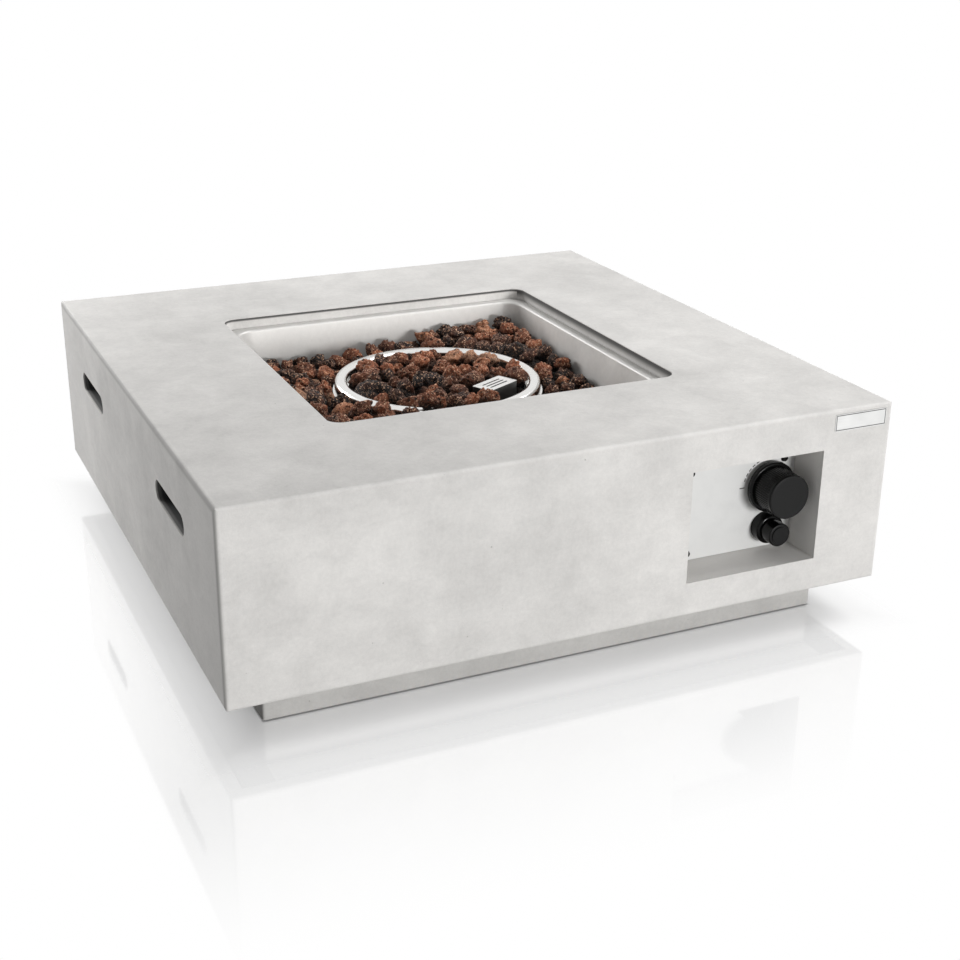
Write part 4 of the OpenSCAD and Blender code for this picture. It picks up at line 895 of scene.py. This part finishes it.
def heap_piece(name, stones, shapes, heap_tops):
    """One mesh of many stones, each with a tone of its own and its depth below the stones around it,
    which the finish turns into painted shade.
    """
    points = []
    faces = []
    tones = []
    count = 0
    for kind, radius, turn, spot, _, _ in stones:
        shape, shape_faces = shapes[kind]
        points.append(shape @ turn.T * radius + spot)
        faces.append(shape_faces + count)
        count += len(shape)
        tones.append(np.full(len(shape), stone_rng.beta(1.1, 1.25)))
    points = np.concatenate(points)
    cells = np.round(points[:, :2] / grid_step).astype(int) + len(heap_tops) // 2
    cells = np.clip(cells, 0, len(heap_tops) - 1)
    depth = heap_tops[cells[:, 0], cells[:, 1]] - points[:, 2]
    heap = new_piece(name, points, np.concatenate(faces), "lava")
    for label, values in (("tone", np.concatenate(tones)), ("depth", depth)):
        heap.data.attributes.new(label, "FLOAT", "POINT").data.foreach_set("value", values)
    return heap


def lava_heap():
    """The loose rock inside and outside the burner: what shows is finer than what lies below."""
    fine = [stone_shape(4, shape_seed + kind) for kind in range(stone_kinds)]
    coarse = [stone_shape(3, shape_seed + kind) for kind in range(stone_kinds)]
    least_share = 0.03
    stones, shown, heap_tops = pack_stones([points for points, _ in fine])
    groups = {}
    for stone, share in zip(stones, shown):
        x, y, _ = stone[3]
        if share < least_share:
            name = "lava_below"
        else:
            across = "_end" if abs(x) > abs(y) else "_side"
            name = "lava_inside" if math.hypot(x, y) < ring_middle else "lava_outside" + across
            name += "_back" if y > 0 else "_front"
            name += "_right" if x > 0 else "_left"
        groups.setdefault(name, []).append(stone)
    for name, group in groups.items():
        heap = heap_piece(name, group, coarse if name == "lava_below" else fine, heap_tops)
        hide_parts("lava_stones_low" if name == "lava_below" else "lava_stones_top")


lava_heap()


# Studio


def studio_floor():
    """A pale floor that keeps the shadow and a faint reflection, and fades to the white background."""
    rings = 24
    around = 64
    reach = 9.0
    points = [(0.0, 0.0, 0.0)]
    for ring in range(1, rings + 1):
        radius = reach * (ring / rings) ** 2
        for step in range(around):
            a = 2 * math.pi * step / around
            points.append((radius * math.cos(a), radius * math.sin(a), 0.0))
    faces = [(0, 1 + step, 1 + (step + 1) % around) for step in range(around)]
    faces += band_faces(rings - 1, around, first=1)
    mesh = bpy.data.meshes.new("studio_floor")
    mesh.from_pydata(points, [], faces)
    floor = bpy.data.objects.new("studio_floor", mesh)
    bpy.context.scene.collection.objects.link(floor)
    f = new_finish("studio_floor")
    p = f.position()
    x, y, _ = f.split(p)
    away = (abs(x) | abs(y)) - plinth_half
    grain = f.noise(p, 9.0, 2.0)
    pale = f.mix(grain, (0.94, 0.94, 0.94), (0.96, 0.96, 0.96))
    grey = f.mix(grain, (0.60, 0.60, 0.60), (0.64, 0.64, 0.64))
    paper = f.node("BsdfDiffuse", None, {"Color": pale})
    ground = f.node("BsdfDiffuse", None, {"Color": grey})
    white = f.node("Emission", None, {"Color": (1.0, 1.0, 1.0, 1.0), "Strength": 1.0})
    gloss = f.node("BsdfGlossy", None, {"Color": (1.0, 1.0, 1.0, 1.0), "Roughness": 0.06})
    mirror_reach = 0.34
    shadow_reach = 0.09
    shadow = f.smooth(away, shadow_reach, 0.0) * 0.64 | (away < 0.0)
    mirrored = f.smooth(away, mirror_reach, 0.0) * 0.30
    mirror = f.node("MixShader", None, {0: mirrored, 1: white, 2: gloss})
    shown = f.node("MixShader", None, {0: shadow, 1: mirror, 2: paper})
    f.output(f.node("MixShader", None, {0: f.seen(), 1: ground, 2: shown}))
    mesh.materials.append(f.owner)


def studio_world(fill):
    """Soft fill from all sides, with a white background wherever it is seen or mirrored."""
    world = bpy.data.worlds.new("studio")
    bpy.context.scene.world = world
    f = Finish(world)
    soft = f.node("Background", None, {"Color": (1.0, 1.0, 1.0, 1.0), "Strength": fill})
    white = f.node("Background", None, {"Color": (1.0, 1.0, 1.0, 1.0), "Strength": 1.0})
    f.output(f.node("MixShader", None, {0: f.seen(), 1: soft, 2: white}))


def soft_light(name, place, aim, size, power):
    """A rectangular lamp turned towards a point, itself not seen."""
    lamp = bpy.data.lights.new(name, "AREA")
    lamp.shape = "RECTANGLE"
    lamp.size, lamp.size_y = size
    lamp.energy = power
    light = bpy.data.objects.new(name, lamp)
    light.visible_camera = False
    light.location = place
    light.rotation_euler = (Vector(aim) - Vector(place)).to_track_quat("-Z", "Y").to_euler()
    bpy.context.scene.collection.objects.link(light)


def photo_camera():
    """The camera at the photograph's viewing angle."""
    place = (-0.6334, -1.4986, 0.7397)
    azimuth = math.radians(-24.62)
    elevation = math.radians(22.07)
    roll = math.radians(0.57)
    back = Vector((
        math.sin(azimuth) * math.cos(elevation),
        -math.cos(azimuth) * math.cos(elevation),
        math.sin(elevation),
    ))
    right = Vector((0, 0, 1)).cross(back).normalized()
    up = back.cross(right)
    rolled_right = math.cos(roll) * right + math.sin(roll) * up
    rolled_up = math.cos(roll) * up - math.sin(roll) * right
    data = bpy.data.cameras.new("camera")
    data.sensor_width = 36.0
    data.lens = 57.18
    data.clip_end = 60.0
    camera = bpy.data.objects.new("camera", data)
    axes = Matrix((rolled_right, rolled_up, back)).transposed()
    camera.matrix_world = Matrix.Translation(place) @ axes.to_4x4()
    bpy.context.scene.collection.objects.link(camera)
    bpy.context.scene.camera = camera


studio_floor()
studio_world(fill=0.25)
soft_light("key_light", (1.7, -8.0, 1.1), (0.0, -0.35, 0.12), (1.5, 1.2), 406.0)
soft_light("right_light", (1.3, -0.1, 1.5), (0.1, 0.0, 0.24), (0.9, 0.9), 22.0)
soft_light("back_light", (-0.75, 1.3, 0.7), (-0.2, 0.1, 0.2), (0.6, 0.5), 15.0)
soft_light("left_light", (-1.6, 1.0, 0.25), (-0.35, 0.1, 0.14), (0.5, 0.3), 0.5)
photo_camera()
bpy.context.scene.view_settings.view_transform = "Standard"
